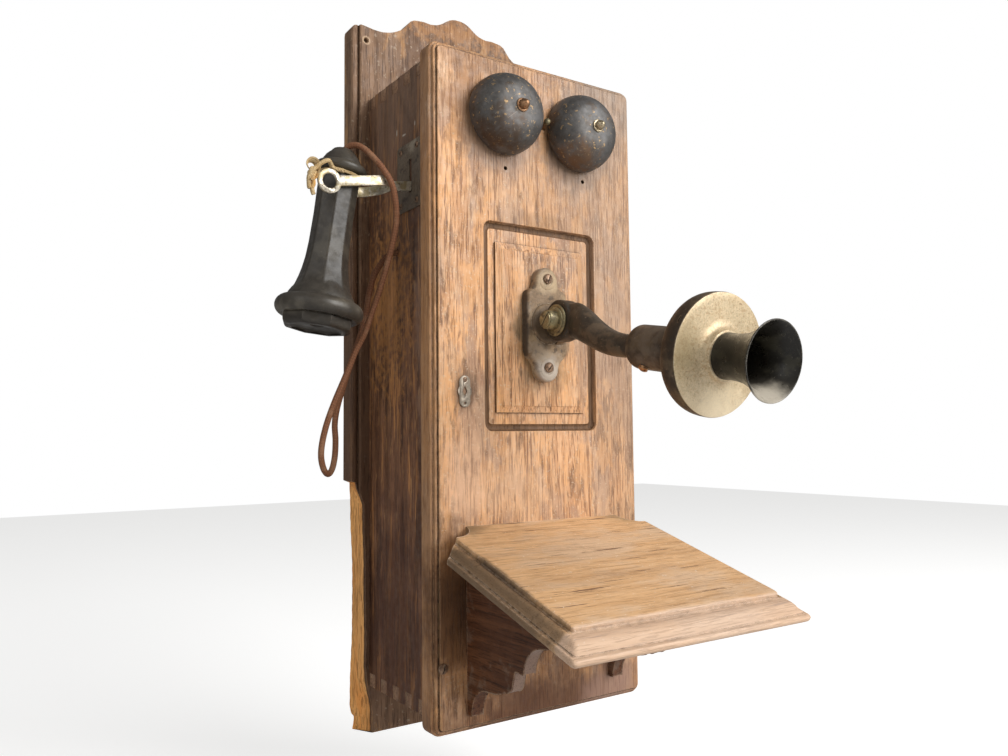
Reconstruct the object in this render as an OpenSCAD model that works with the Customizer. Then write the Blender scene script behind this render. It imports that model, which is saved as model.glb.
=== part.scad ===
// Oak magneto wall telephone. Origin: centre of the backboard's rear face, which lies on the wall.
// X to the right as seen from the front, Y towards the wall, Z up. Sizes in millimetres.

/* [Backboard] */
// Width of the backboard
board_w = 254; // [244:1:264]
// Thickness of the backboard
board_t = 22; // [18:1:24]
// Lowest edge of the backboard
board_bottom = -376; // [-386:1:-366]
// Width of the moulded border of the backboard
board_border = 7.6; // [5:0.2:10]
// Depth of the step of that border
board_border_step = 3; // [2:0.5:5]
// Distance between the two upper wall screw holes
wall_hole_spacing = 224; // [216:1:228]
// Height of the wall screw holes
wall_hole_z = 329.6; // [326:0.2:331]
// Diameter of the wall screw holes
wall_hole_d = 5; // [4:0.2:6]
// Height at which the split of the left edge begins
split_z = -132; // [-150:1:-120]

/* [Box] */
// Outer width of the box
box_w = 216; // [212:1:220]
// Depth of the box from backboard to door
box_depth = 128; // [126:1:130]
// Top of the box
box_top = 267; // [265:1:269]
// Bottom of the box
box_bottom = -330; // [-332:1:-328]
// Thickness of the box boards
wall_t = 13; // [12:0.5:14]
// Number of fingers in each corner joint
finger_count = 5; // [3:1:7]

/* [Door] */
// Width of the door over its moulding
door_w = 236; // [232:1:240]
// Width of the flat face of the door
door_flat_w = 225; // [221:1:229]
// Thickness of the door
door_t = 22; // [20:1:24]
// Top of the door
door_top = 272; // [271:1:274]
// Bottom of the door
door_bottom = -339; // [-341:1:-337]
// Half width of the routed frame
frame_half_w = 64.6; // [63:0.1:68]
// Lower edge of the routed frame
frame_bottom = -79; // [-81:0.5:-78]
// Upper edge of the routed frame
frame_top = 113.9; // [112:0.1:116]
// Width of the routed groove
groove_w = 6.5; // [5:0.1:8]
// Depth of the routed groove
groove_depth = 3; // [2:0.1:4]
// Half width of the raised panel
panel_half_w = 51; // [48:0.5:52]
// Lower edge of the raised panel
panel_bottom = -62; // [-64:0.5:-60]
// Upper edge of the raised panel
panel_top = 95.3; // [94:0.1:97]
// Width of the sloping border of the raised panel
panel_bevel = 6.2; // [4:0.1:8]

/* [Gongs] */
// Diameter of each gong
gong_d = 74; // [70:1:75]
// Sideways place of the left gong
gong_left_x = -45; // [-46:0.5:-44]
// Sideways place of the right gong
gong_right_x = 43; // [42:0.5:45]
// Height of the left gong's centre
gong_left_z = 213; // [210:1:215]
// Height of the right gong's centre
gong_right_z = 211; // [209:1:214]
// Depth of a gong from rim to crown
gong_h = 31; // [26:1:33]
// Gap between the door and the gong rim
gong_gap = 4.5; // [4:0.5:6]
// Wall thickness of a gong
gong_wall = 2; // [1.5:0.1:2.5]

/* [Transmitter] */
// Height of the arm pivot
pivot_z = 21; // [20:0.5:22]
// Distance of the arm pivot in front of the door
pivot_reach = 33; // [32:0.5:34]
// Diameter of the arm knuckle
knuckle_d = 38; // [36:1:38]
// Diameter of the pivot bolt
pivot_d = 8; // [6:0.5:9]
// Downward tilt of the mouthpiece at rest
mouth_tilt = 9.5; // [8:0.5:11]
// Distance of the faceplate in front of the door
face_reach = 218; // [216:0.5:220]
// Height of the faceplate centre
face_z = -25.7; // [-27:0.1:-24]
// Diameter of the faceplate and cup
cup_d = 93; // [90:1:94]
// Depth of the cup behind the faceplate
cup_depth = 20.5; // [19:0.5:22]
// Diameter of the mouthpiece rim
mouth_d = 58.8; // [57:0.2:60]
// Distance of the mouthpiece rim from the faceplate
mouth_reach = 50; // [48:0.5:52]

/* [Shelf] */
// Height of the shelf's rear upper edge
shelf_z = -162; // [-164:0.5:-160]
// Slope of the shelf
shelf_slope = 16.3; // [14:0.1:18]
// Length of the shelf down its slope
shelf_len = 210; // [206:1:214]
// Full width of the shelf
shelf_w = 247.4; // [244:0.2:250]
// Thickness of the shelf
shelf_t = 18; // [17:0.5:19]
// Radius of the concave rear corners of the shelf
shelf_cove_r = 38; // [34:1:42]
// Thickness of each shelf bracket
bracket_t = 12; // [10:0.5:14]
// Distance from the middle to the outer face of a shelf bracket
bracket_x = 85.5; // [82:0.5:88]

/* [Hook and receiver] */
// Distance of the hook lever from the wall
hook_y = -114; // [-116:0.5:-112]
// Sideways place of the hook pivot
hook_pivot_x = -60; // [-62:0.5:-58]
// Height of the hook pivot
hook_pivot_z = 160.4; // [159:0.2:162]
// Downward slope of the lever with the receiver on it
hook_slope = 9.5; // [8:0.1:11]
// Height of the lever strip
lever_h = 9; // [8:0.5:10]
// Thickness of the lever strip
lever_t = 3; // [2.5:0.1:3.2]
// Half of the clear width between the prongs
fork_half_gap = 20.8; // [20.5:0.1:21.5]
// Distance from the pivot to the ring centres
ring_reach = 140.8; // [139:0.2:143]
// Outer diameter of the prong rings
ring_d = 21.5; // [20:0.5:22]
// Distance from the pivot to the rounded end of the rear prong
rear_prong_reach = 120; // [116:0.5:122]
// Hole diameter of the prong rings
ring_hole_d = 13; // [12:0.5:14]
// Sideways place of the receiver's neck at the fork
neck_x = -181.6; // [-182:0.2:-180]
// Height of the receiver's neck at the fork
neck_z = 140.2; // [139:0.2:141]
// Lean of the hanging receiver, its foot outwards
receiver_lean = 8.7; // [7:0.2:10]
// Diameter of the receiver's sound ring
flange_d = 77; // [75:1:79]
// Diameter of the receiver cord
cord_d = 5.6; // [4:0.1:5.8]

/* [Inside] */
// Height of the generator shelf's upper face
gen_shelf_z = 34; // [30:1:36]
// Distance of the generator shafts from the wall
gen_y = -74; // [-76:1:-72]
// Height of the crank shaft
crank_z = 114; // [113.5:0.5:114.5]
// Distance between crank shaft and armature shaft
gear_centres = 45; // [45:1:45]
// Teeth of the drive gear
gear_teeth = 60; // [60:1:60]
// Teeth of the pinion
pinion_teeth = 12; // [12:1:12]
// Reach of the crank from shaft to knob
crank_reach = 45; // [40:1:46]
// Angle of the crank from straight down towards the wall
crank_angle = 20; // [0:1:60]
// Diameter of a dry cell
cell_d = 65; // [60:1:68]
// Height of a dry cell
cell_h = 160; // [150:1:168]

/* [Hidden] */
$fn = 64;
fit = 0.05;
board_front = -board_t;
door_back = -(board_t + box_depth);
door_front = door_back - door_t;
in_x = box_w / 2 - wall_t;
in_bottom = box_bottom + wall_t;
in_top = box_top - wall_t;
pivot_y = door_front - pivot_reach;
face_y = door_front - face_reach;
knuckle_half_w = 8;
armature_z = crank_z - gear_centres;
gear_module = 2 * gear_centres / (gear_teeth + pinion_teeth);
hinge_x = box_w / 2 + 3.2;
hinge_y = door_back + 3.2;
hinge_z = [-255, 195];
hinge_len = 50;
lock_x = -86.3;
lock_z = -43.5;
clapper_z = 214;
gong_spots = [[gong_left_x, gong_left_z], [gong_right_x, gong_right_z]];
clapper_pivot_z = 165;
clapper_y = door_back + 17;
clapper_ball_y = door_front - 12;
cord_hole = [-108, -84.5, 94.5];
bracket_screw_z = [63.4, -20];

// Outlines are drawn in X and Z and carried back along Y, or drawn in Y and Z and carried along X.
module along_y(front, back) {
    translate([0, back, 0]) rotate([90, 0, 0]) linear_extrude(back - front) children();
}
module along_x(left, right) {
    translate([left, 0, 0]) rotate([90, 0, 90]) linear_extrude(right - left) children();
}
module slab(x0, x1, y0, y1, z0, z1) {
    translate([x0, y0, z0]) cube([x1 - x0, y1 - y0, z1 - z0]);
}
module rod_x(y, z, x0, x1, d) {
    translate([x0, y, z]) rotate([0, 90, 0]) cylinder(h = x1 - x0, d = d);
}
module rod_y(x, z, y0, y1, d) {
    translate([x, y1, z]) rotate([90, 0, 0]) cylinder(h = y1 - y0, d = d);
}
module rod_z(x, y, z0, z1, d) {
    translate([x, y, z0]) cylinder(h = z1 - z0, d = d);
}
module round_rect(x0, x1, z0, z1, r) {
    translate([x0 + r, z0]) square([x1 - x0 - 2 * r, z1 - z0]);
    translate([x0, z0 + r]) square([x1 - x0, z1 - z0 - 2 * r]);
    for (x = [x0 + r, x1 - r], z = [z0 + r, z1 - r]) translate([x, z]) circle(r);
}
// Points of an arc about a centre, from one angle to another.
function arc(cx, cz, r, a0, a1, n) = [for (i = [0:n]) let (a = a0 + (a1 - a0) * i / n)
    [cx + r * cos(a), cz + r * sin(a)]];
// The same points on the other side of the middle, in reverse, without the shared first point.
function mirrored(pts) = [for (i = [len(pts) - 1:-1:1]) [-pts[i][0], pts[i][1]]];

// Slotted screw head with its shank, pointing along +Z, head's underside at zero.
module slotted_screw(head_d, head_h, shank_d, shank_l) {
    difference() {
        rotate_extrude() intersection() {
            translate([0, head_h - head_d * 0.75]) circle(head_d * 0.75);
            square([head_d / 2, head_h]);
        }
        translate([-head_d, -0.6, head_h * 0.55]) cube([2 * head_d, 1.2, head_h]);
    }
    translate([0, 0, -shank_l]) cylinder(h = shank_l, d = shank_d);
}
module screw_to_front(x, y, z, head_d, head_h, shank_d, shank_l, turn) {
    translate([x, y, z]) rotate([90, 0, 0]) rotate([0, 0, turn])
        slotted_screw(head_d, head_h, shank_d, shank_l);
}

// Tube swept along points, one closed polyhedron. Each ring is square to the run through its point,
// and its up and side radii come from lists, so that an arm may be oval.
function unit(v) = v / norm(v);
function run_at(p, i) = unit(p[min(i + 1, len(p) - 1)] - p[max(i - 1, 0)]);
function ring_points(p, i, side, r_side, r_up, n) = let (t = run_at(p, i), s = unit(side - (side * t) * t),
    u = cross(s, t)) [for (k = [0:n - 1]) p[i] + r_side * cos(360 * k / n) * s + r_up * sin(360 * k / n) * u];
module swept(p, side, r_side, r_up, n) {
    m = len(p);
    points = [for (i = [0:m - 1]) each ring_points(p, i, side, r_side[i], r_up[i], n)];
    walls = [for (i = [0:m - 2], k = [0:n - 1]) let (a = i * n + k, b = i * n + (k + 1) % n)
        each [[a, b, b + n], [a, b + n, a + n]]];
    caps = [[for (k = [n - 1:-1:0]) k], [for (k = [0:n - 1]) (m - 1) * n + k]];
    polyhedron(points = points, faces = concat(walls, caps), convexity = 8);
}
// Smooth curve through chosen points, with the given number of steps on each run.
function smooth_point(a, b, c, d, t) = 0.5 * ((2 * b) + (c - a) * t + (2 * a - 5 * b + 4 * c - d) * t * t
    + (3 * b - a - 3 * c + d) * t * t * t);
function smooth(p, steps) = let (m = len(p)) concat([for (i = [0:m - 2], j = [0:steps - 1])
    smooth_point(p[max(i - 1, 0)], p[i], p[i + 1], p[min(i + 2, m - 1)], j / steps)], [p[m - 1]]);

// Half outline of the crest from the middle to the right edge.
crest_top = 380;
crest = concat(
    [[0, crest_top], [7, crest_top - 0.6], [13, 377], [22, 370.5], [30, 367.3], [36, 366.5], [44, 367.2],
     [50, 366.6]],
    arc(55, 359.5, 7, 75, 20, 4),
    [[67, 354.5], [73, 350], [82, 345.4], [91, 343.2], [103, 343], [111, 344.2]],
    arc(119, 337, 8, 90, 0, 5));
// Whole backboard outline; the lower left edge is split away along the grain.
function board_outline(split_x) = concat(
    mirrored(crest), crest,
    [[board_w / 2, board_bottom], [-115, board_bottom], [-111, -362],
     [split_x, -350], [split_x + 1, -300], [split_x + 2.5, -240], [split_x + 0.5, -190],
     [split_x, split_z - 6], [-board_w / 2, split_z]]);
module backboard() color("#6b5138") difference() {
    union() {
        along_y(board_front + board_border_step, 0) polygon(board_outline(-119));
        along_y(board_front, board_front + board_border_step) intersection() {
            polygon(board_outline(-114));
            translate([-board_w / 2 + board_border, board_bottom])
                square([board_w - 2 * board_border, crest_top - board_bottom]);
        }
    }
    for (s = [-1, 1]) rod_y(s * wall_hole_spacing / 2, wall_hole_z, board_front - 1, 1, wall_hole_d);
}

// Fingers of a box corner: the sides hold every other one, the top and bottom boards the rest.
finger_w = box_depth / (2 * finger_count);
module finger_slots(x0, x1, z0, z1, first) {
    for (i = [0:finger_count - 1]) let (y = door_back + (2 * i + first) * finger_w)
        slab(x0, x1, y, y + finger_w, z0, z1);
}
module side_blank(x0) {
    difference() {
        slab(x0, x0 + wall_t, door_back, board_front, box_bottom, box_top);
        finger_slots(x0 - 1, x0 + wall_t + 1, box_bottom - 1, in_bottom, 1);
        finger_slots(x0 - 1, x0 + wall_t + 1, in_top, box_top + 1, 1);
    }
}
module side_left() color("#4a2e1f") difference() {
    side_blank(-box_w / 2);
    slab(-box_w / 2 - 1, -in_x + 1, hook_y - 2.4, hook_y + 2.4, 146.5, 178.4);
    rod_x(cord_hole[1], cord_hole[2], -box_w / 2 - 1, -in_x + 1, 7);
    slab(-in_x - 8, -in_x + 1, -146, -136.6, lock_z - 6, lock_z + 6);
    for (q = plate_screws) rod_x(q[0], q[1], -box_w / 2 - 1, -box_w / 2 + 9, 2.6);
}
module side_right() color("#4a2e1f") difference() {
    side_blank(in_x);
    rod_x(gen_y, crank_z, in_x - 1, box_w / 2 + 1, 14);
}
module end_board(z0) {
    slab(-in_x, in_x, door_back, board_front, z0, z0 + wall_t);
    for (s = [-1, 1]) finger_slots(s > 0 ? in_x : -box_w / 2, s > 0 ? box_w / 2 : -in_x, z0, z0 + wall_t, 1);
}
module top_board() color("#55361f") end_board(in_top);
module bottom_board() color("#55361f") end_board(box_bottom);
module generator_shelf() color("#7a5a3a")
    slab(-in_x, in_x, door_back + 20, board_front, gen_shelf_z - 10, gen_shelf_z);

// Two small butt hinges in the corner between the right side and the overhanging door.
knuckle_r = 3;
hinge_pin_d = 3;
module knuckles(z, segments) {
    for (i = segments) rod_z(hinge_x, hinge_y, z + i * hinge_len / 5 + 0.1, z + (i + 1) * hinge_len / 5 - 0.1,
        2 * knuckle_r);
}
module hinge_box_leaves() color("#8c7a4e") for (z = hinge_z) difference() {
    union() {
        knuckles(z, [0, 2, 4]);
        for (i = [0, 2, 4]) slab(box_w / 2, box_w / 2 + 1.4, hinge_y, hinge_y + 8,
            z + i * hinge_len / 5 + 0.1, z + (i + 1) * hinge_len / 5 - 0.1);
        slab(box_w / 2, box_w / 2 + 1.4, hinge_y + 4, hinge_y + 24, z, z + hinge_len);
    }
    translate([hinge_x, hinge_y, z - 1]) cylinder(h = hinge_len + 2, d = hinge_pin_d);
}
module hinge_door_leaves() color("#8c7a4e") for (z = hinge_z) difference() {
    union() {
        knuckles(z, [1, 3]);
        for (i = [1, 3]) slab(hinge_x, door_w / 2 - 1, door_back, door_back + 1.4,
            z + i * hinge_len / 5 + 0.1, z + (i + 1) * hinge_len / 5 - 0.1);
    }
    translate([hinge_x, hinge_y, z - 1]) cylinder(h = hinge_len + 2, d = hinge_pin_d + 2 * fit);
}
module hinge_pins() color("#a39a80") for (z = hinge_z) {
    rod_z(hinge_x, hinge_y, z - 1, z + hinge_len + 1, hinge_pin_d);
    for (e = [z - 2.2, z + hinge_len + 1]) rod_z(hinge_x, hinge_y, e, e + 1.2, 5);
}

// Door: one board with a stepped moulded edge, a routed frame and a raised panel.
ledge_1 = 2.2;
ledge_2 = 5.5;
module door_outline(inset) {
    round_rect(-door_w / 2 + inset, door_w / 2 - inset, door_bottom + inset, door_top - inset, 9);
}
edge_step = (door_w - door_flat_w) / 2;
module door_panel() color("#a8703a") difference() {
    union() {
        along_y(door_front + ledge_2, door_back) door_outline(0);
        along_y(door_front + ledge_1, door_front + ledge_2) door_outline(edge_step / 2);
        along_y(door_front, door_front + ledge_1) door_outline(edge_step);
    }
    along_y(door_front - 1, door_front + groove_depth) difference() {
        round_rect(-frame_half_w, frame_half_w, frame_bottom, frame_top, 8);
        round_rect(-frame_half_w + groove_w, frame_half_w - groove_w, frame_bottom + groove_w,
            frame_top - groove_w, 3);
    }
    along_y(door_front - 1, door_front + 1.5) difference() {
        translate([-frame_half_w + groove_w - 0.1, frame_bottom + groove_w - 0.1])
            square([2 * (frame_half_w - groove_w) + 0.2, frame_top - frame_bottom - 2 * groove_w + 0.2]);
        translate([-panel_half_w, panel_bottom]) square([2 * panel_half_w, panel_top - panel_bottom]);
    }
    along_y(door_front - 1, door_front + 0.8) difference() {
        translate([-panel_half_w, panel_bottom]) square([2 * panel_half_w, panel_top - panel_bottom]);
        translate([-panel_half_w + panel_bevel, panel_bottom + panel_bevel])
            square([2 * (panel_half_w - panel_bevel), panel_top - panel_bottom - 2 * panel_bevel]);
    }
    for (g = gong_spots) rod_y(g[0], g[1], door_front - 1, door_back + 1, 4);
    slab(-7, 7, door_front - 1, door_back + 1, clapper_z - 4, clapper_z + 4);
    for (q = [[-40, 165.5], [52, 166.9]]) rod_y(q[0], q[1], door_front - 1, door_back + 1, 3.4);
    for (z = bracket_screw_z) rod_y(0, z, door_front - 1, door_back - 4, 3.6);
    rod_y(0, pivot_z, door_front - 1, door_back + 1, 8);
    rod_y(lock_x, lock_z, door_front - 1, door_back + 1, 6);
    rod_y(-109.5, -280.8, door_front - 1, door_front + 15, 3);
    rod_y(lock_x, lock_z + 10.5, door_front - 1, door_front + 9, 2);
}
module door_screw() color("#7d7368") screw_to_front(-109.5, door_front, -280.8, 9, 2.6, 3, 14, 80);

// Oval lock plate with a diamond keyhole.
module lock_escutcheon() color("#b3aa9c") difference() {
    along_y(door_front - 1.2, door_front) {
        translate([lock_x, lock_z]) circle(7);
        for (s = [-1, 1]) translate([lock_x, lock_z + s * 8.5]) circle(5.6);
        translate([lock_x - 5.6, lock_z - 8.5]) square([11.2, 17]);
    }
    along_y(door_front - 2, door_front + 1) {
        translate([lock_x, lock_z]) polygon([[0, 4.6], [2.4, 0], [0, -4.6], [-2.4, 0]]);
        for (s = [-1, 1]) translate([lock_x, lock_z + s * 10.5]) circle(1.1);
    }
}
module escutcheon_screw() color("#8f867a")
    screw_to_front(lock_x, door_front - 1.2, lock_z + 10.5, 4.4, 1.2, 2, 8, 20);
module lock_case() color("#8c7a4e") difference() {
    slab(lock_x - 7, lock_x + 25, door_back, door_back + 14.5, lock_z - 17, lock_z + 17);
    slab(lock_x - 8, lock_x + 21, -145.5, -137, lock_z - 5.3, lock_z + 5.3);
    rod_y(lock_x, lock_z, door_back - 1, door_back + 8, 6);
}
module lock_bolt() color("#a8955c")
    slab(lock_x - 7.2, lock_x + 12, -145.2, -137.3, lock_z - 5, lock_z + 5);

// Gong: a thin shell, its mouth towards the door.
gong_profile_h = [0, 0.12, 0.3, 0.5, 0.68, 0.83, 0.94, 0.995, 1];
gong_profile_r = [1, 1, 0.985, 0.93, 0.84, 0.71, 0.52, 0.24, 0];
module gong(spot) {
    n = len(gong_profile_h) - 1;
    r = gong_d / 2;
    translate([spot[0], door_front - gong_gap, spot[1]]) rotate([90, 0, 0]) rotate_extrude() difference() {
        polygon(concat([for (i = [0:n]) [r * gong_profile_r[i], gong_h * gong_profile_h[i]]], [[0, 0]]));
        polygon(concat([for (i = [0:n]) [(r - gong_wall) * gong_profile_r[i],
            (gong_h - gong_wall) * gong_profile_h[i]]], [[0, -1], [r - gong_wall, -1]]));
        translate([-1, 0]) square([3.4, gong_h + 1]);
    }
}
module gong_left() color("#4b4f54") gong(gong_spots[0]);
module gong_right() color("#4b4f54") gong(gong_spots[1]);
gong_crown_y = door_front - gong_gap - gong_h;
module gong_posts() color("#7a6f5c") for (g = gong_spots) {
    rod_y(g[0], g[1], gong_crown_y + gong_wall + 0.3, door_front, 9);
    rod_y(g[0], g[1], gong_crown_y - 3, gong_crown_y + gong_wall + 0.3, 4.4);
    rod_y(g[0], g[1], door_front, door_back, 4);
    rod_y(g[0], g[1], door_back, door_back + 3, 9);
}
module gong_nuts() color("#9a7b52") for (g = gong_spots)
    translate([g[0], gong_crown_y, g[1]]) rotate([90, 0, 0]) difference() {
        rotate_extrude() polygon([[0, 0], [6.2, 0], [6.2, 1.1], [4.6, 1.6], [4.4, 3.4], [4.5, 4.4],
            [4.0, 6.2], [2.7, 7.8], [1.2, 8.7], [0, 9]]);
        translate([0, 0, -1]) cylinder(h = 4, d = 4.4);
    }

// Ringer behind the door: iron frame, two coils and a rocking armature with its rod and ball.
coil_x = 19;
module ringer_frame() color("#3f3f42") {
    difference() {
        slab(-30, 30, door_back, door_back + 3, 98, 184);
        for (z = [103, 179]) rod_y(0, z, door_back - 1, door_back + 4, 4);
    }
    for (s = [-1, 1]) slab(s > 0 ? 9 : -24, s > 0 ? 24 : -9, door_back + 3, door_back + 31, 176, 179);
    slab(-24, 24, door_back + 28, door_back + 31, 170, 176);
    slab(-6, 6, door_back + 28, door_back + 31, 160, 170);
    rod_y(0, clapper_pivot_z, door_back + 3, door_back + 28, 3);
    slab(-30, 30, door_back + 3, door_back + 27, 98, 103);
    for (s = [-1, 1]) rod_z(s * coil_x, clapper_y, 103, 160, 8);
}
module ringer_coils() color("#6d2b22") for (s = [-1, 1]) difference() {
    union() {
        rod_z(s * coil_x, clapper_y, 106, 154, 23);
        for (z = [103.2, 154]) rod_z(s * coil_x, clapper_y, z, z + 2.8, 27);
    }
    rod_z(s * coil_x, clapper_y, 102, 158, 8);
}
module clapper() color("#a08a5a") difference() {
    union() {
        rod_y(0, clapper_pivot_z, clapper_y - 7, clapper_y + 7, 8);
        slab(-30, 30, clapper_y - 5, clapper_y + 5, clapper_pivot_z - 2, clapper_pivot_z + 2);
        rod_z(0, clapper_y, clapper_pivot_z + 2, clapper_z, 2.6);
        translate([0, clapper_y, clapper_z]) sphere(d = 3.4);
        rod_y(0, clapper_z, clapper_ball_y, clapper_y, 2.6);
        translate([0, clapper_ball_y, clapper_z]) sphere(d = 6.4);
    }
    rod_y(0, clapper_pivot_z, clapper_y - 8, clapper_y + 8, 3 + 2 * fit);
}

// Cast bracket of the transmitter with a lug at the right of the arm's knuckle.
bracket_lobe_z = [62, -21];
bracket_plate_t = 9.5;
lug_x = knuckle_half_w + 0.3;
module bracket_outline() {
    for (z = bracket_lobe_z) translate([0, z]) circle(12.5);
    translate([-12.5, bracket_lobe_z[1]]) square([25, bracket_lobe_z[0] - bracket_lobe_z[1]]);
    polygon([[-23, 50], [-15, 53], [15, 53], [23, 50], [23, -6], [19, -10], [14, -16], [-14, -16], [-19, -10],
        [-23, -6]]);
}
module transmitter_bracket() color("#5f5143") difference() {
    union() {
        along_y(door_front - bracket_plate_t, door_front) bracket_outline();
        rod_x(pivot_y, pivot_z, lug_x, lug_x + 9, 32);
        slab(lug_x, lug_x + 9, pivot_y, door_front - bracket_plate_t, pivot_z - 16, pivot_z + 16);
    }
    rod_x(pivot_y, pivot_z, lug_x - 1, lug_x + 10, pivot_d);
    for (z = bracket_screw_z) rod_y(0, z, door_front - bracket_plate_t - 1, door_front + 1, 4.6);
    rod_y(0, pivot_z, door_front - bracket_plate_t - 1, door_front + 1, 8);
}
module bracket_screws() color("#6e5443") for (i = [0, 1])
    screw_to_front(0, door_front - bracket_plate_t, bracket_screw_z[i], 9.4, 3.4, 3.6, 24, 70 - 20 * i);
washer_x = -knuckle_half_w - 0.3;
module pivot_washers() color("#8a7f4a") difference() {
    union() {
        rod_x(pivot_y, pivot_z, washer_x - 1.6, washer_x, 29);
        rod_x(pivot_y, pivot_z, washer_x - 3, washer_x - 1.6, 24);
    }
    rod_x(pivot_y, pivot_z, washer_x - 4, washer_x + 1, pivot_d);
}
module pivot_bolt() color("#8a7f4a") {
    rod_x(pivot_y, pivot_z, washer_x - 3, lug_x + 9, pivot_d);
    difference() {
        union() {
            rod_x(pivot_y, pivot_z, washer_x - 12, washer_x - 3, 17);
            rod_x(pivot_y, pivot_z, washer_x - 13.4, washer_x - 12, 15);
        }
        translate([washer_x - 13, pivot_y, pivot_z]) rotate([-50, 0, 0]) cube([3.4, 20, 1.5], center = true);
    }
    rod_x(pivot_y, pivot_z, lug_x + 9, lug_x + 15, 15);
}

// Curved arm, oval beside the knuckle and round where it enters the cup's socket.
arm_route = [[0, pivot_y - 6, 20.5], [0, -222, 19.8], [0, -233, 14.8], [0, -246, 7], [0, -259, -0.2],
    [0, -272, -5.6], [0, -286, -9], [0, -302.6, -11.4]];
arm_side_r = [7.5, 7.7, 11.5, 12.6, 12, 11, 10.2, 9.4];
arm_up_r = [14, 16.2, 15, 13, 11.8, 10.9, 10.2, 9.4];
module on_mouth_axis() {
    translate([0, face_y, face_z]) rotate([90 + mouth_tilt, 0, 0]) children();
}
socket_back = -87.5;
boss_r = 18.2;
cup_floor = -17;
plate_rim = 0.8;
slot_turn = 149;
// Place of the small clamp screw, low on the left of the boss.
module on_clamp_side() {
    rotate([0, 0, 240]) translate([boss_r - 5, 0, socket_back + 18.5]) rotate([0, 90, 0]) children();
}
module transmitter_arm() color("#2d2a27") difference() {
    union() {
        rod_x(pivot_y, pivot_z, -knuckle_half_w, knuckle_half_w, knuckle_d);
        swept(arm_route, [1, 0, 0], arm_side_r, arm_up_r, 20);
        on_mouth_axis() translate([0, 0, socket_back - 6]) cylinder(h = 28, d = 17.4);
    }
    rod_x(pivot_y, pivot_z, -20, 20, pivot_d + 2 * fit);
}
module transmitter_cup() color("#4a3f38") on_mouth_axis() difference() {
    rotate_extrude() polygon(concat(
        [[0, socket_back], [9, socket_back]], arc(boss_r - 7, socket_back + 7, 7, -80, 0, 5),
        [[boss_r, -cup_depth - 4], [19.4, -cup_depth - 1.5], [25, -cup_depth - 0.5], [35, -cup_depth],
        [39, -cup_depth + 0.7], [42, -cup_depth + 2.4], [44, -cup_depth + 4.6], [45.5, -cup_depth + 7.6],
        [46.3, -cup_depth + 10.6], [cup_d / 2, -cup_depth + 13], [cup_d / 2, -plate_rim],
        [cup_d / 2 - 1.5, -plate_rim], [cup_d / 2 - 1.5, -2.5], [0, -2.5]]));
    translate([0, 0, socket_back - 1]) cylinder(h = 24, d = 17.4);
    rotate_extrude() polygon([[0, cup_floor], [32, cup_floor], [38.5, -15.4], [41.6, -12], [43, -8],
        [cup_d / 2 - 3, -2.5], [cup_d / 2 - 3, 0], [0, 0]]);
    on_clamp_side() cylinder(h = 10, d = 4);
    rotate([0, 0, slot_turn]) translate([cup_d / 2 - 1.4, -3, -5.2]) cube([4, 6, 1.4]);
}
module clamp_screw() color("#a06a3c") on_mouth_axis()
    on_clamp_side() translate([0, 0, 5.1]) slotted_screw(8, 3.4, 4, 4);
module faceplate() color("#b9ad8e") on_mouth_axis()
    rotate_extrude() polygon([[15.2, -2.5], [cup_d / 2 - 1.5, -2.5], [cup_d / 2 - 1.5, -plate_rim],
        [cup_d / 2, -plate_rim], [cup_d / 2, -0.4], [cup_d / 2 - 0.6, 0], [25, 1.2], [21.5, 2.4],
        [19.6, 4.2], [19, 6.4], [18, 7.2], [15.2, 7.2]]);
// Flared mouthpiece, open from its rim to the grille over the diaphragm.
mouth_r = mouth_d / 2;
flare_outer = [[17, 7.4], [17, 17], [17.6, 24], [19.2, 31], [22.4, 39], [26, 45.5], [mouth_r, mouth_reach]];
module mouthpiece() color("#1c1a19") on_mouth_axis() {
    rotate_extrude() polygon(concat([[14.9, -1.5], [14.9, 7.4]], flare_outer,
        [[mouth_r - 1.3, mouth_reach], [24.4, 45], [20.8, 39], [17.4, 31], [15.8, 24], [15, 17], [13, 8],
        [13, -1.5]]));
    translate([0, 0, -1.5]) difference() {
        cylinder(h = 2, r = 13);
        for (i = [0:5]) rotate([0, 0, 60 * i]) translate([7, 0, -1]) cylinder(h = 4, d = 3);
    }
}
module transmitter_diaphragm() color("#8f8a80") on_mouth_axis()
    translate([0, 0, -4.4]) cylinder(h = 0.6, r = 41);
module carbon_button() color("#9a8a5a") on_mouth_axis() {
    translate([0, 0, cup_floor]) cylinder(h = -4.4 - cup_floor, r = 12);
    translate([0, 0, -12]) cylinder(h = 2, r = 16);
}

// Shelf, built on its own slope: X across, local Y down the slope from the door, local Z upwards.
module on_slope() {
    translate([0, door_front, shelf_z]) rotate([shelf_slope, 0, 0]) children();
}
function shelf_outline(half_w, length, cove) = concat(
    [[-half_w, -length], [half_w, -length]],
    [[half_w, -cove]], arc(half_w, 0, cove, 270, 180, 8), arc(-half_w, 0, cove, 0, -90, 8));
module shelf() color("#8a7350") difference() {
    on_slope() {
        translate([0, 0, -4]) linear_extrude(4) polygon(shelf_outline(110.5, 192, shelf_cove_r - 12));
        translate([0, 0, -8]) linear_extrude(4) polygon(shelf_outline(116, 199, shelf_cove_r - 6));
        translate([0, 0, -10]) linear_extrude(2) polygon(shelf_outline(121, shelf_len - 4, shelf_cove_r - 2));
        translate([0, 0, -15.5]) linear_extrude(5.5)
            polygon(shelf_outline(shelf_w / 2, shelf_len, shelf_cove_r));
        translate([0, 0, -shelf_t]) linear_extrude(shelf_t - 15.5)
            polygon(shelf_outline(121, shelf_len - 4, shelf_cove_r - 2));
    }
    slab(-130, 130, door_front, door_front + 20, shelf_z - 60, shelf_z + 20);
}
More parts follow.
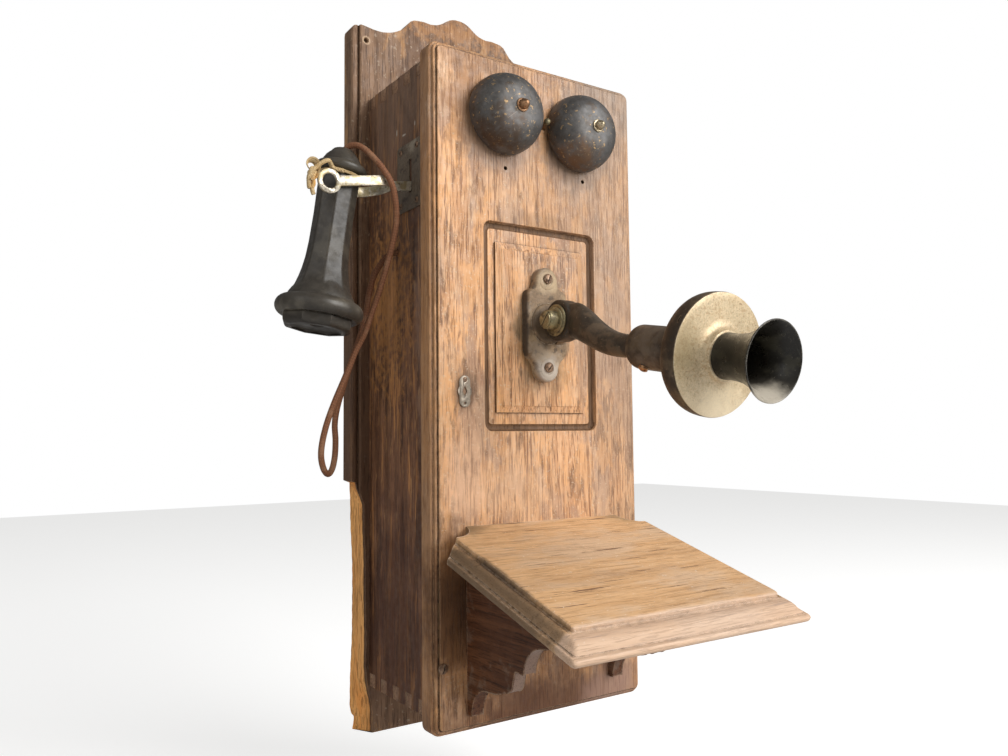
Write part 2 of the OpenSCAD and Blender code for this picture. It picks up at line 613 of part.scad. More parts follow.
// Scroll-sawn bracket, drawn in Y and Z, its top edge along the shelf's underside. The right one is
// sawn a little shallower than the left one.
shelf_under_z = shelf_z - shelf_t / cos(shelf_slope);
function under_shelf(y) = shelf_under_z + (y - door_front) * tan(shelf_slope) - 0.02;
function scroll(lift) = concat(
    [[door_front, -323 + lift], [-179, -323 + lift]], arc(-204, -321.5 + lift, 25, 0, 90, 8),
    [[-222, -294 + lift], [-231, -291.5 + lift]], arc(-232, -281 + lift, 9.5, 285, 205, 4),
    [[-245, -270.6 + lift], [-256.5, -270.6 + lift]], arc(-284, -273 + lift, 27, 5, 90, 8),
    [[-291, -244.5 + lift]]);
module shelf_bracket(x0, lift) along_x(x0, x0 + bracket_t)
    polygon(concat([[door_front, under_shelf(door_front)]], scroll(lift), [[-295, under_shelf(-295)]]));
module shelf_bracket_left() color("#4b2a1a") shelf_bracket(-bracket_x, 0);
module shelf_bracket_right() color("#4b2a1a") shelf_bracket(bracket_x - bracket_t, 8);

// Hook plate on the outside of the left side, with its slot and four screws.
plate_screws = [[-127, 188.5], [-94.5, 188.5], [-127, 136.5], [-94.5, 136.5]];
plate_x = -box_w / 2 - 1.2;
module hook_plate() color("#5d5046") difference() {
    along_x(plate_x, -box_w / 2) round_rect(-135, -87, 130, 195, 4);
    slab(plate_x - 1, -box_w / 2 + 1, hook_y - 2.4, hook_y + 2.4, 146.5, 178.4);
    for (q = plate_screws) rod_x(q[0], q[1], plate_x - 1, -box_w / 2 + 1, 2.6);
}
module hook_plate_screws() color("#8b8175") for (q = plate_screws)
    translate([plate_x, q[0], q[1]]) rotate([0, -90, 0]) rotate([0, 0, 30]) slotted_screw(6, 1.6, 2.6, 9);
// Frame of the switch inside, with the pin on which the lever turns.
hook_pin_d = 4;
module hook_switch_frame() color("#8c7a4e") {
    slab(-in_x, -in_x + 2, hook_y - 16, hook_y - 5, 140, 195);
    slab(-in_x, -in_x + 2, hook_y + 5, hook_y + 16, 140, 195);
    for (s = [-1, 1]) difference() {
        slab(-in_x + 2, -50, s > 0 ? hook_y + 5 : hook_y - 7, s > 0 ? hook_y + 7 : hook_y - 5, 150, 170);
        rod_y(hook_pivot_x, hook_pivot_z, hook_y - 8, hook_y + 8, hook_pin_d);
    }
    rod_y(hook_pivot_x, hook_pivot_z, hook_y - 8, hook_y + 8, hook_pin_d);
    for (z = [141, 188]) slab(-in_x, -in_x + 2, hook_y - 5, hook_y + 5, z, z + 6);
}
// Stack of contact springs beside the lever's tail.
module hook_contacts() color("#b08d57") {
    for (i = [0:2]) slab(-in_x + 6, -26, hook_y - 4, hook_y + 4, 123 + 6 * i, 123.8 + 6 * i);
    slab(-in_x, -in_x + 14, hook_y - 6, hook_y + 6, 117, 123);
    for (i = [0:1]) slab(-in_x, -in_x + 14, hook_y - 6, hook_y + 6, 123.8 + 6 * i, 129 + 6 * i);
    slab(-in_x, -in_x + 14, hook_y - 6, hook_y + 6, 135.8, 139.9);
}
// Lever and fork, in a frame that starts at the pivot and slopes down outwards along -X.
module on_lever() {
    translate([hook_pivot_x, hook_y, hook_pivot_z]) rotate([0, -hook_slope, 0]) children();
}
fork_bend_x = -94;
fork_outer = fork_half_gap + lever_t;
// Side of each prong, the reach of its end and the diameter of that end. The front one ends in a ring,
// the shorter rear one is only rounded.
prongs = [[-1, ring_reach, ring_d], [1, rear_prong_reach, lever_h]];
module hook_lever() color("#c3b79c") on_lever() difference() {
    union() {
        rotate([90, 0, 0]) cylinder(h = 9.4, d = 12, center = true);
        translate([fork_bend_x + fork_half_gap + 0.5, -lever_t / 2, -lever_h / 2])
            cube([-fork_bend_x - fork_half_gap - 0.5, lever_t, lever_h]);
        translate([0, -lever_t / 2, -3]) cube([24, lever_t, 6]);
        translate([fork_bend_x, 0, -lever_h / 2]) linear_extrude(lever_h) difference() {
            circle(fork_outer);
            circle(fork_half_gap);
            translate([-60, -30]) square([60, 60]);
        }
        for (prong = prongs) {
            translate([-prong[1], prong[0] > 0 ? fork_half_gap : -fork_outer, -lever_h / 2])
                cube([prong[1] + fork_bend_x, lever_t, lever_h]);
            translate([-prong[1], prong[0] * (fork_half_gap + lever_t / 2), 0]) rotate([90, 0, 0])
                cylinder(h = lever_t, d = prong[2], center = true);
        }
    }
    rotate([90, 0, 0]) cylinder(h = 12, d = hook_pin_d + 2 * fit, center = true);
    translate([-ring_reach, -fork_half_gap - lever_t / 2, 0]) rotate([90, 0, 0])
        cylinder(h = 2 * lever_t, d = ring_hole_d, center = true);
}

// Receiver, in a frame at the neck: local Z up along the leaning receiver.
module on_receiver() {
    translate([neck_x, hook_y, neck_z]) rotate([0, receiver_lean, 0]) children();
}
flange_r = 8.4;
body_z = [9, -6, -28, -54, -68, -78, -86, -93, -98, -102, -106];
body_r = [18.4, 18.2, 17.8, 18.2, 19.1, 20.6, 22.4, 25, 28, 31.5, 35];
module receiver_body() color("#222222") on_receiver() difference() {
    union() {
        rotate([0, 0, 22.5]) for (i = [0:len(body_z) - 2]) translate([0, 0, body_z[i + 1]])
            cylinder(h = body_z[i] - body_z[i + 1], r1 = body_r[i + 1], r2 = body_r[i], $fn = 8);
        rotate_extrude() {
            translate([flange_d / 2 - flange_r, -113.5]) circle(flange_r);
            translate([0, -121]) square([flange_d / 2 - flange_r, 14]);
        }
    }
    translate([0, 0, -103]) cylinder(h = 118, d = 25);
    translate([0, 0, -122]) cylinder(h = 20, d = 50);
    translate([0, 0, -123]) cylinder(h = 2, d = flange_d + 2);
}
module receiver_tail_cap() color("#1e1e1e") on_receiver() difference() {
    rotate_extrude() polygon(concat([[0, 9], [15, 9], [17, 10.6]], arc(19, 15, 4.4, -90, 60, 6),
        [[18, 21.6], [17.4, 24], [14.5, 28.5], [10.5, 32.4], [6.4, 34.8], [3.4, 36], [0, 36]]));
    translate([0, 0, 23.8]) cylinder(h = 14, d = cord_d + 0.4);
    translate([0, 0, 27.5]) cylinder(h = 9.5, d1 = cord_d + 0.4, d2 = 17);
}
module receiver_ear_cap() color("#1e1e1e") on_receiver() difference() {
    rotate([0, 0, 22.5]) translate([0, 0, -131]) cylinder(h = 10, r = 31.5, $fn = 8);
    translate([0, 0, -132]) cylinder(h = 3.5, d1 = 47, d2 = 40);
    translate([0, 0, -134]) cylinder(h = 20, d = 11);
    translate([0, 0, -127.5]) cylinder(h = 8, d = 50);
}
module receiver_diaphragm() color("#777777") on_receiver() translate([0, 0, -123]) cylinder(h = 0.5, d = 49);
module receiver_magnet() color("#5a5a60") on_receiver() {
    for (s = [-1, 1]) {
        translate([s * 6 - 3, -8, -96]) cube([6, 16, 84]);
        translate([s * 8, 0, -116]) cylinder(h = 12, d = 14);
        translate([s * 8, 0, -104]) cylinder(h = 8, d = 4);
    }
    translate([-9, -8, -12]) cube([18, 16, 6]);
}
// String round the neck under the tail cap, with a bow of loose ends beyond the front ring.
string_r = 1.3;
string_ring_r = 1;
string_bow = [[-15, -13.6, 8.6], [-20, -19, 10.5], [-24.5, -23.5, 9.5], [-29, -26, 6.5], [-33, -25.5, 7.5],
    [-37.5, -24.5, 5.5], [-39.8, -23.5, -1], [-38.4, -24, -6.5], [-35, -26, -8.6], [-32, -27.5, -5],
    [-31.6, -27.5, 0], [-34.6, -29, -3], [-34, -27.5, -9], [-31, -24.8, -13], [-31.2, -24, -17],
    [-29.2, -23.8, -21.5]];
module neck_string() color("#c9b48c") on_receiver() {
    path = smooth(string_bow, 2);
    radii = [for (q = path) string_r];
    translate([0, 0, 8.6]) rotate_extrude() translate([19.5, 0]) circle(string_ring_r, $fn = 24);
    swept(path, [0, 1, 0.2], radii, radii, 8);
}

// Receiver cord: from the tail cap over and down beside the box, a hanging loop, and up to its hole.
cord_route = [
    [-178, -114, 164], [-177.5, -114, 167.2], [-176.6, -114.8, 172.4], [-174.2, -117.6, 176.5],
    [-170.8, -121.4, 178], [-166.6, -125.6, 176.9], [-161.6, -130, 172.4], [-154.6, -136.9, 162.1],
    [-147.8, -140.9, 151.6], [-141.7, -140.9, 142], [-138, -139.1, 132.2], [-135.2, -136.6, 121.2],
    [-133.9, -133.3, 109.8], [-134, -129.3, 98.4], [-134.8, -125, 86.8], [-136.2, -120, 74.2],
    [-137.9, -115.2, 62], [-140.6, -108.4, 45], [-144.4, -104, 30], [-149.4, -100, 12],
    [-157, -97, -5], [-165.5, -94, -28], [-174.5, -92, -50], [-182, -91.6, -70], [-186.4, -91.2, -88],
    [-186.8, -90, -101], [-182.8, -86.3, -111.7], [-176, -79.6, -116.4], [-169.4, -73, -112.3],
    [-165.2, -69.2, -101], [-164, -68, -86], [-165.2, -69, -70.5], [-163.5, -71.5, -54],
    [-158.5, -75, -33.5], [-152.5, -77, -13], [-146.5, -78.5, 5], [-139.5, -80, 30], [-136.5, -82, 52],
    [-131.5, -83.5, 71], [-121.6, -84.4, 86.2], [-113.4, -84.5, 93], [-105, -84.5, 94.5], [-96, -84.5, 94.5]];
module receiver_cord() color("#6b4536") {
    path = smooth(cord_route, 2);
    radii = [for (q = path) cord_d / 2];
    swept(path, [0.3, 1, 0.2], radii, radii, 10);
}

// Magneto generator: five bar magnets over an armature, gear driven by the crank shaft.
magnet_in_r = 29;
magnet_out_r = 38.5;
module generator_magnets() color("#7b2f24") for (i = [0:4]) along_x(-47 + 19 * i, -29.6 + 19 * i) {
    difference() {
        translate([gen_y, crank_z - 6]) circle(magnet_out_r);
        translate([gen_y, crank_z - 6]) circle(magnet_in_r);
        translate([gen_y - 50, crank_z - 106]) square([100, 100]);
    }
    for (s = [-1, 1]) translate([gen_y + (s > 0 ? magnet_in_r : -magnet_out_r), gen_shelf_z])
        square([magnet_out_r - magnet_in_r, crank_z - 6 - gen_shelf_z]);
}
module generator_end_plates() color("#a08a5a") for (x = [-52, 50]) difference() {
    union() {
        slab(x, x + 3, gen_y - 27, gen_y + 27, gen_shelf_z, crank_z + 16);
        foot_x = x < 0 ? x - 12 : x + 3;
        slab(foot_x, foot_x + 12, gen_y - 27, gen_y + 27, gen_shelf_z, gen_shelf_z + 3);
    }
    rod_x(gen_y, crank_z, x - 1, x + 4, 8 + 2 * fit);
    rod_x(gen_y, armature_z, x - 1, x + 4, 6 + 2 * fit);
}
// Straight-sided teeth with backlash.
module toothed(teeth, module_size, tip, root, tip_w, root_w) {
    pitch_r = teeth * module_size / 2;
    circle(pitch_r - root);
    for (i = [0:teeth - 1]) rotate(360 * i / teeth) polygon([[pitch_r - root - 0.5, -root_w / 2],
        [pitch_r + tip, -tip_w / 2], [pitch_r + tip, tip_w / 2], [pitch_r - root - 0.5, root_w / 2]]);
}
module generator_armature() color("#8a6a4a") {
    rod_x(gen_y, armature_z, -46, 49, 24);
    rod_x(gen_y, armature_z, -55, 66, 6);
    along_x(59, 65) translate([gen_y, armature_z])
        toothed(pinion_teeth, gear_module, 0.9, 1.35, 0.75, 2.0);
}
module drive_gear() color("#b39a5c") along_x(59.5, 64.5)
    translate([gen_y, crank_z]) rotate(-90 + 180 / gear_teeth) difference() {
        toothed(gear_teeth, gear_module, 0.9, 1.35, 0.85, 2.1);
        circle(4);
        for (i = [0:4]) rotate(72 * i) translate([20, 0]) circle(8);
    }
module crank_shaft() color("#8f8a80") {
    rod_x(gen_y, crank_z, -55, box_w / 2 + 6, 8);
    rod_x(gen_y, crank_z, 68, 74, 14);
}
module crank_bushing() color("#b9ad8e") difference() {
    union() {
        rod_x(gen_y, crank_z, in_x, box_w / 2, 14);
        rod_x(gen_y, crank_z, box_w / 2, box_w / 2 + 2, 26);
    }
    rod_x(gen_y, crank_z, in_x - 1, box_w / 2 + 3, 8 + 2 * fit);
}
// Crank arm and its turning knob, the arm hanging down with its end towards the wall.
module on_crank() {
    translate([0, gen_y, crank_z]) rotate([crank_angle, 0, 0]) children();
}
crank_x = box_w / 2 + 6;
knob_pin_d = 5;
module crank_arm() color("#8f8a80") on_crank() {
    rod_x(0, 0, crank_x, crank_x + 9, 16);
    slab(crank_x + 2, crank_x + 7, -5.5, 5.5, -crank_reach, 0);
    rod_x(0, -crank_reach, crank_x + 2, crank_x + 7, 11);
    rod_x(0, -crank_reach, crank_x + 7, crank_x + 42, knob_pin_d);
    rod_x(0, -crank_reach, crank_x + 42, crank_x + 43.5, 9);
}
module crank_knob() color("#1e1c1b") on_crank() translate([crank_x + 7.4, 0, -crank_reach])
    rotate([0, 90, 0]) rotate_extrude() polygon([[knob_pin_d / 2 + fit, 0], [6, 0], [6.6, 2], [5.6, 6],
        [6.4, 14], [8.4, 22], [9.4, 28], [8.6, 32], [6.6, 34], [knob_pin_d / 2 + fit, 34.3]]);

// Two dry cells on the floor of the box, each with two terminals.
module dry_cells() color("#8a7f6c") for (x = [-40, 40]) {
    rod_z(x, -86, in_bottom, in_bottom + cell_h, cell_d);
    rod_z(x, -86, in_bottom + cell_h, in_bottom + cell_h + 8, 24);
    for (e = [0, 26]) rod_z(x, -86 + e, in_bottom + cell_h + (e > 0 ? 0 : 8), in_bottom + cell_h + 18, 7);
}
module induction_coil() color("#6d2b22") {
    rod_x(board_front - 20, -10, -42, 42, 32);
    for (x = [-50, 42]) slab(x, x + 8, board_front - 38, board_front, -29, 9);
    rod_x(board_front - 20, -10, -54, 54, 10);
}
module terminal_block() color("#3a2416") {
    slab(-70, 70, board_front - 12, board_front, -112, -88);
    for (i = [0:5]) {
        rod_y(-57.5 + 23 * i, -100, board_front - 26, board_front - 12, 8);
        rod_y(-57.5 + 23 * i, -100, board_front - 19, board_front - 16, 12);
    }
}
// Insulated wires held along the backboard.
wire_routes = [
    [[-57.5, -34.5, -87], [-57.5, -26, -76], [-62, -24.2, -60], [-80, -24.2, -30], [-88, -24.2, 0],
        [-88, -24.2, 16]],
    [[57.5, -34.5, -87], [57.5, -26, -76], [66, -24.2, -60], [76, -24.2, -30], [80, -24.2, 0],
        [80, -24.2, 18]],
    [[-11.5, -34.5, -87], [-11.5, -26, -74], [-8, -24.2, -60], [0, -24.2, -48], [0, -25.5, -40]]];
module wiring() color("#8c3b2e") for (w = wire_routes) {
    path = smooth(w, 2);
    radii = [for (q = path) 1.7];
    swept(path, [1, 0, 0.1], radii, radii, 8);
}

backboard();
side_left();
side_right();
top_board();
bottom_board();
generator_shelf();
hinge_box_leaves();
hinge_door_leaves();
hinge_pins();
door_panel();
door_screw();
lock_escutcheon();
escutcheon_screw();
lock_case();
lock_bolt();
gong_left();
gong_right();
gong_posts();
gong_nuts();
ringer_frame();
ringer_coils();
clapper();
transmitter_bracket();
bracket_screws();
pivot_bolt();
pivot_washers();
transmitter_arm();
transmitter_cup();
clamp_screw();
faceplate();
mouthpiece();
transmitter_diaphragm();
carbon_button();
shelf();
shelf_bracket_left();
shelf_bracket_right();
hook_plate();
hook_plate_screws();
hook_switch_frame();
hook_contacts();
hook_lever();
receiver_body();
receiver_tail_cap();
receiver_ear_cap();
receiver_diaphragm();
receiver_magnet();
neck_string();
receiver_cord();
generator_magnets();
generator_end_plates();
generator_armature();
drive_gear();
crank_shaft();
crank_bushing();
crank_arm();
crank_knob();
dry_cells();
induction_coil();
terminal_block();
wiring();
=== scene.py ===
"""Oak magneto wall telephone with its receiver hanging on the hook.

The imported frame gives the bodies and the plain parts. The classes below replace the visible parts
with finer ones and dress every part. Sizes are in millimetres, as in the part's source.
"""
import logging
import math
from dataclasses import dataclass, replace
from enum import Enum
from typing import Optional, Sequence, Union

import bmesh
import bpy
from mathutils import Matrix, Vector


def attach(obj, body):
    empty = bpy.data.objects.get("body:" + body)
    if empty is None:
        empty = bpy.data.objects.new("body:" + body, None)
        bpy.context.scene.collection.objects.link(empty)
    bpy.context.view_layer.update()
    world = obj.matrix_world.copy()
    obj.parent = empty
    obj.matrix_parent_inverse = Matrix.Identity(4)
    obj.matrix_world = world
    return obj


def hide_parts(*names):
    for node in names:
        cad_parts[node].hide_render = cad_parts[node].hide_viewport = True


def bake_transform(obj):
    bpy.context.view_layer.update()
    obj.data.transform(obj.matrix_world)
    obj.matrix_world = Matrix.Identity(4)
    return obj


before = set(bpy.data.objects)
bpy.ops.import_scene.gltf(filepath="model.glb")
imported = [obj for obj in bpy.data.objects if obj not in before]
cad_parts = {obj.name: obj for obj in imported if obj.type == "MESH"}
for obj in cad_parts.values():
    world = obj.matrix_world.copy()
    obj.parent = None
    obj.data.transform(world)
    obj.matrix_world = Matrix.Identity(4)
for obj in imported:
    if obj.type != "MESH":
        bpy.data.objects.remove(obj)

LOG = logging.getLogger("telephone")
MM = 0.001
FURROW_SHADE = (0.5, 0.42, 0.36)
GLOSS_SCALE = 110.0
COAT_ROUGHNESS = 0.3
SHARP = 32.0
ROUNDED_FROM = 38.0
WELD_REACH = 0.00001
MERGE_REACH = 0.004
MITRE_LIMIT = 1.2
LEAST_CORNER = 0.05
FLAT_ANGLE = 0.6
SENSOR_WIDTH = 36.0
Point = tuple[float, float, float]
Flat = tuple[float, float]
Colour = tuple[float, float, float]
Socket = bpy.types.NodeSocket
Value = Union[Socket, float, Sequence[float]]
Ground = tuple[Value, Socket, Optional[Socket]]


# Shader trees
class Tree:
    """Adds and joins the nodes of one shader tree."""

    def __init__(self, tree: bpy.types.NodeTree) -> None:
        """Keeps the tree that nodes are added to."""
        self.tree = tree

    def node(self, kind: str, inputs: Optional[dict[Union[str, int], Value]] = None,
             **settings: object) -> bpy.types.Node:
        """Adds a node.

        Args:
            kind: the node's type without its leading word.
            inputs: values or sockets for its inputs, by name or place.
            settings: the node's own options.

        Returns:
            The new node.
        """
        made = self.tree.nodes.new("ShaderNode" + kind)
        for key, value in settings.items():
            setattr(made, key, value)
        for key, value in (inputs or {}).items():
            self.feed(made.inputs[key], value)
        return made

    def feed(self, socket: Socket, value: Value) -> None:
        """Links or sets one input.

        Args:
            socket: the input.
            value: another socket, a number, a vector or a colour.
        """
        if isinstance(value, bpy.types.NodeSocket):
            self.tree.links.new(value, socket)
        elif socket.type == "RGBA":
            socket.default_value = (*value[:3], 1.0)
        else:
            socket.default_value = value

    def math(self, operation: str, a: Value, b: Value = 0.0, clamp: bool = False) -> Socket:
        """Adds a sum of two values.

        Args:
            operation: the operation's name.
            a: first value.
            b: second value.
            clamp: whether the result stays from 0 to 1.

        Returns:
            The result's socket.
        """
        return self.node("Math", {0: a, 1: b}, operation=operation, use_clamp=clamp).outputs[0]

    def times(self, a: Value, b: Value, clamp: bool = False) -> Socket:
        """Returns one value times another."""
        return self.math("MULTIPLY", a, b, clamp)

    def vector(self, operation: str, a: Value, b: Value = (0.0, 0.0, 0.0)) -> bpy.types.Node:
        """Adds a sum of two vectors.

        Args:
            operation: the operation's name.
            a: first vector.
            b: second vector.

        Returns:
            The node, with its Vector and Value outputs.
        """
        return self.node("VectorMath", {0: a, 1: b}, operation=operation)

    def stretched(self, vector: Value, factors: Point) -> Socket:
        """Returns the vector times a factor for each axis."""
        return self.vector("MULTIPLY", vector, factors).outputs["Vector"]

    def ramp(self, value: Value, low: Value, high: Value, first: Value = 0.0,
             last: Value = 1.0) -> Socket:
        """Turns a range of values smoothly into another.

        Args:
            value: what is turned.
            low: where the range starts.
            high: where it ends.
            first: the result at the start.
            last: the result at the end.

        Returns:
            The result's socket.
        """
        return self.node("MapRange", {"Value": value, "From Min": low, "From Max": high,
                                      "To Min": first, "To Max": last},
                         interpolation_type="SMOOTHSTEP").outputs["Result"]

    def mix(self, factor: Value, a: Value, b: Value, way: str = "MIX") -> Socket:
        """Mixes two colours.

        Args:
            factor: share of the second one.
            a: first colour.
            b: second colour.
            way: how they are mixed.

        Returns:
            The mixed colour's socket.
        """
        return self.node("Mix", {0: factor, 6: a, 7: b}, data_type="RGBA", blend_type=way).outputs[2]

    def noise(self, vector: Value, scale: Value, detail: float = 4.0, roughness: float = 0.6) -> Socket:
        """Adds cloudy noise.

        Args:
            vector: where it is read.
            scale: its scale.
            detail: its number of finer layers.
            roughness: the strength of those layers.

        Returns:
            Its value from 0 to 1.
        """
        return self.node("TexNoise", {"Vector": vector, "Scale": scale, "Detail": detail,
                                      "Roughness": roughness}).outputs[0]

    def streaks(self, vector: Value, factors: Point, detail: float, roughness: float) -> Socket:
        """Adds noise with its own scale on each axis.

        Args:
            vector: where it is read.
            factors: the scale on X, Y and Z.
            detail: its number of finer layers.
            roughness: the strength of those layers.

        Returns:
            Its value from 0 to 1.
        """
        return self.noise(self.stretched(vector, factors), 1.0, detail, roughness)


class Effect:
    """A shader effect kept as one node group that reads a vector, built once for all materials."""

    inputs: dict[str, Union[float, Sequence[float]]] = {}
    outputs: dict[str, str] = {"Mask": "Float"}

    def build(self, tree: Tree, given: dict[str, Socket]) -> dict[str, Socket]:
        """Builds the inside of the group.

        Args:
            tree: the group's tree.
            given: the group's inputs by name.

        Returns:
            What feeds each output, by name.
        """
        raise NotImplementedError

    def group(self) -> bpy.types.NodeTree:
        """Finds the effect's node group, or builds it the first time.

        Returns:
            The node group.
        """
        name = type(self).__name__
        if name in bpy.data.node_groups:
            return bpy.data.node_groups[name]
        made = bpy.data.node_groups.new(name, "ShaderNodeTree")
        inputs = {"Vector": (0.0, 0.0, 0.0), **self.inputs}
        for key, value in inputs.items():
            kind = ("NodeSocketFloat" if isinstance(value, float)
                    else "NodeSocketColor" if len(value) == 4 else "NodeSocketVector")
            made.interface.new_socket(name=key, in_out="INPUT", socket_type=kind).default_value = value
        for key, kind in self.outputs.items():
            made.interface.new_socket(name=key, in_out="OUTPUT", socket_type="NodeSocket" + kind)
        source = made.nodes.new("NodeGroupInput")
        sink = made.nodes.new("NodeGroupOutput")
        results = self.build(Tree(made), {key: source.outputs[key] for key in inputs})
        for key, result in results.items():
            made.links.new(result, sink.inputs[key])
        return made

    def place(self, tree: Tree, **values: Value) -> bpy.types.Node:
        """Places the effect in a tree.

        Args:
            tree: the material's tree.
            values: the effect's inputs by name.

        Returns:
            The placed group node.
        """
        made = tree.node("Group", node_tree=self.group())
        for key, value in values.items():
            tree.feed(made.inputs[key], value)
        return made


class OakGrain(Effect):
    """Oak with streaks, open pores and pale ray flecks; the grain runs along the vector's Z."""

    inputs = {"Light": (0.6, 0.4, 0.2, 1.0), "Middle": (0.4, 0.25, 0.1, 1.0),
              "Dark": (0.2, 0.1, 0.05, 1.0), "Pores": 0.6, "Flecks": 0.3}
    outputs = {"Color": "Color", "Height": "Float", "Furrow": "Float"}

    def build(self, tree: Tree, given: dict[str, Socket]) -> dict[str, Socket]:
        """Builds the grain.

        Args:
            tree: the group's tree.
            given: the group's inputs by name.

        Returns:
            Colour, height and dark furrows.
        """
        drift = tree.streaks(given["Vector"], (9.0, 9.0, 1.6), 2.0, 0.5).node.outputs["Color"]
        bent = tree.node("VectorMath", {0: drift, 1: (0.014, 0.014, 0.0), 2: given["Vector"]},
                         operation="MULTIPLY_ADD").outputs["Vector"]
        broad = tree.streaks(bent, (48.0, 48.0, 3.2), 3.0, 0.5)
        streak = tree.streaks(bent, (170.0, 170.0, 6.0), 5.0, 0.66)
        line = tree.streaks(bent, (430.0, 430.0, 13.0), 3.0, 0.6)
        fine = tree.streaks(bent, (1000.0, 1000.0, 42.0), 2.0, 0.6)
        ray = tree.streaks(bent, (300.0, 300.0, 70.0), 3.0, 0.6)
        furrow = tree.math("MAXIMUM", tree.ramp(line, 0.42, 0.33), tree.ramp(fine, 0.46, 0.36))
        colour = tree.mix(tree.ramp(streak, 0.38, 0.6), given["Middle"], given["Light"])
        for share, over in ((tree.times(tree.ramp(broad, 0.5, 0.7), 0.34), "Dark"),
                            (tree.times(furrow, given["Pores"]), "Dark"),
                            (tree.times(tree.ramp(ray, 0.58, 0.68), given["Flecks"]), "Light")):
            colour = tree.mix(share, colour, given[over])
        height = tree.math("SUBTRACT", tree.times(streak, 0.5), tree.times(furrow, 0.6))
        return {"Color": colour, "Height": height, "Furrow": furrow}


class Blotches(Effect):
    """Ragged patches, such as worn varnish, rust or dust."""

    inputs = {"Scale": 40.0, "Low": 0.5, "High": 0.6}

    def build(self, tree: Tree, given: dict[str, Socket]) -> dict[str, Socket]:
        """Builds the patches.

        Args:
            tree: the group's tree.
            given: the group's inputs by name.

        Returns:
            The mask.
        """
        cloud = tree.noise(given["Vector"], given["Scale"], 6.0, 0.62)
        return {"Mask": tree.ramp(cloud, given["Low"], given["High"])}


class Halo(Effect):
    """A soft ragged spot round a place."""

    inputs = {"Centre": (0.0, 0.0, 0.0), "Radii": (0.01, 0.01, 0.01), "Soft": 0.6, "Ragged": 0.3,
              "Scale": 60.0}

    def build(self, tree: Tree, given: dict[str, Socket]) -> dict[str, Socket]:
        """Builds the spot.

        Args:
            tree: the group's tree.
            given: the group's inputs by name.

        Returns:
            The mask.
        """
        away = tree.vector("SUBTRACT", given["Vector"], given["Centre"]).outputs["Vector"]
        scaled = tree.vector("DIVIDE", away, given["Radii"]).outputs["Vector"]
        far = tree.vector("LENGTH", scaled).outputs["Value"]
        cloud = tree.noise(given["Vector"], given["Scale"])
        uneven = tree.times(tree.math("SUBTRACT", cloud, 0.5), given["Ragged"])
        reach = tree.math("ADD", far, tree.times(uneven, 2.0))
        return {"Mask": tree.ramp(reach, 1.0, tree.math("SUBTRACT", 1.0, given["Soft"]))}


class EdgeWear(Effect):
    """Rubbed edges, broken up by noise."""

    inputs = {"Radius": 0.001, "Scale": 200.0, "Amount": 0.6}

    def build(self, tree: Tree, given: dict[str, Socket]) -> dict[str, Socket]:
        """Builds the wear.

        Args:
            tree: the group's tree.
            given: the group's inputs by name.

        Returns:
            The mask.
        """
        rounded = tree.node("Bevel", {"Radius": given["Radius"]}, samples=4).outputs["Normal"]
        plain = tree.node("NewGeometry").outputs["Normal"]
        same = tree.vector("DOT_PRODUCT", rounded, plain).outputs["Value"]
        cloud = tree.noise(given["Vector"], given["Scale"])
        edge = tree.times(tree.ramp(same, 0.995, 0.86), tree.ramp(cloud, 0.36, 0.56))
        return {"Mask": tree.times(edge, given["Amount"], clamp=True)}


class GrooveDirt(Effect):
    """Old dirt and dark varnish in grooves and inner corners, with painted shade where ambient occlusion
    finds them closed in.
    """

    inputs = {"Reach": 0.005, "Scale": 120.0, "Amount": 0.7}

    def build(self, tree: Tree, given: dict[str, Socket]) -> dict[str, Socket]:
        """Builds the dirt and painted shade.

        Args:
            tree: the group's tree.
            given: the group's inputs by name.

        Returns:
            The mask.
        """
        # Ambient occlusion stands in for shade: closed-in places are painted darker along with the dirt.
        open_share = tree.node("AmbientOcclusion", {"Distance": given["Reach"]}, samples=6,
                               only_local=True).outputs["AO"]
        cloud = tree.noise(given["Vector"], given["Scale"])
        uneven = tree.math("ADD", open_share, tree.times(tree.math("SUBTRACT", cloud, 0.5), 0.5))
        return {"Mask": tree.times(tree.ramp(uneven, 0.93, 0.5), given["Amount"], clamp=True)}


class SettledDust(Effect):
    """Dust on what faces up."""

    inputs = {"Amount": 0.5, "Scale": 90.0}

    def build(self, tree: Tree, given: dict[str, Socket]) -> dict[str, Socket]:
        """Builds the dust.

        Args:
            tree: the group's tree.
            given: the group's inputs by name.

        Returns:
            The mask.
        """
        normal = tree.node("NewGeometry").outputs["Normal"]
        up = tree.node("SeparateXYZ", {0: normal}).outputs["Z"]
        cloud = tree.noise(given["Vector"], given["Scale"], 5.0)
        lying = tree.times(tree.ramp(up, -0.15, 0.9), tree.ramp(cloud, 0.25, 0.7))
        return {"Mask": tree.times(lying, given["Amount"], clamp=True)}


class Scratches(Effect):
    """Thin slanting scratches in two directions."""

    inputs = {"Amount": 0.4}

    def build(self, tree: Tree, given: dict[str, Socket]) -> dict[str, Socket]:
        """Builds the scratches.

        Args:
            tree: the group's tree.
            given: the group's inputs by name.

        Returns:
            The mask.
        """
        masks = []
        for turn in (0.5, -0.9):
            slanted = tree.node("VectorRotate", {"Vector": given["Vector"], "Axis": (0.3, 1.0, 0.2),
                                                 "Angle": turn}).outputs[0]
            masks.append(tree.ramp(tree.streaks(slanted, (700.0, 500.0, 14.0), 1.0, 0.5), 0.72, 0.76))
        return {"Mask": tree.times(tree.math("MAXIMUM", *masks), given["Amount"])}


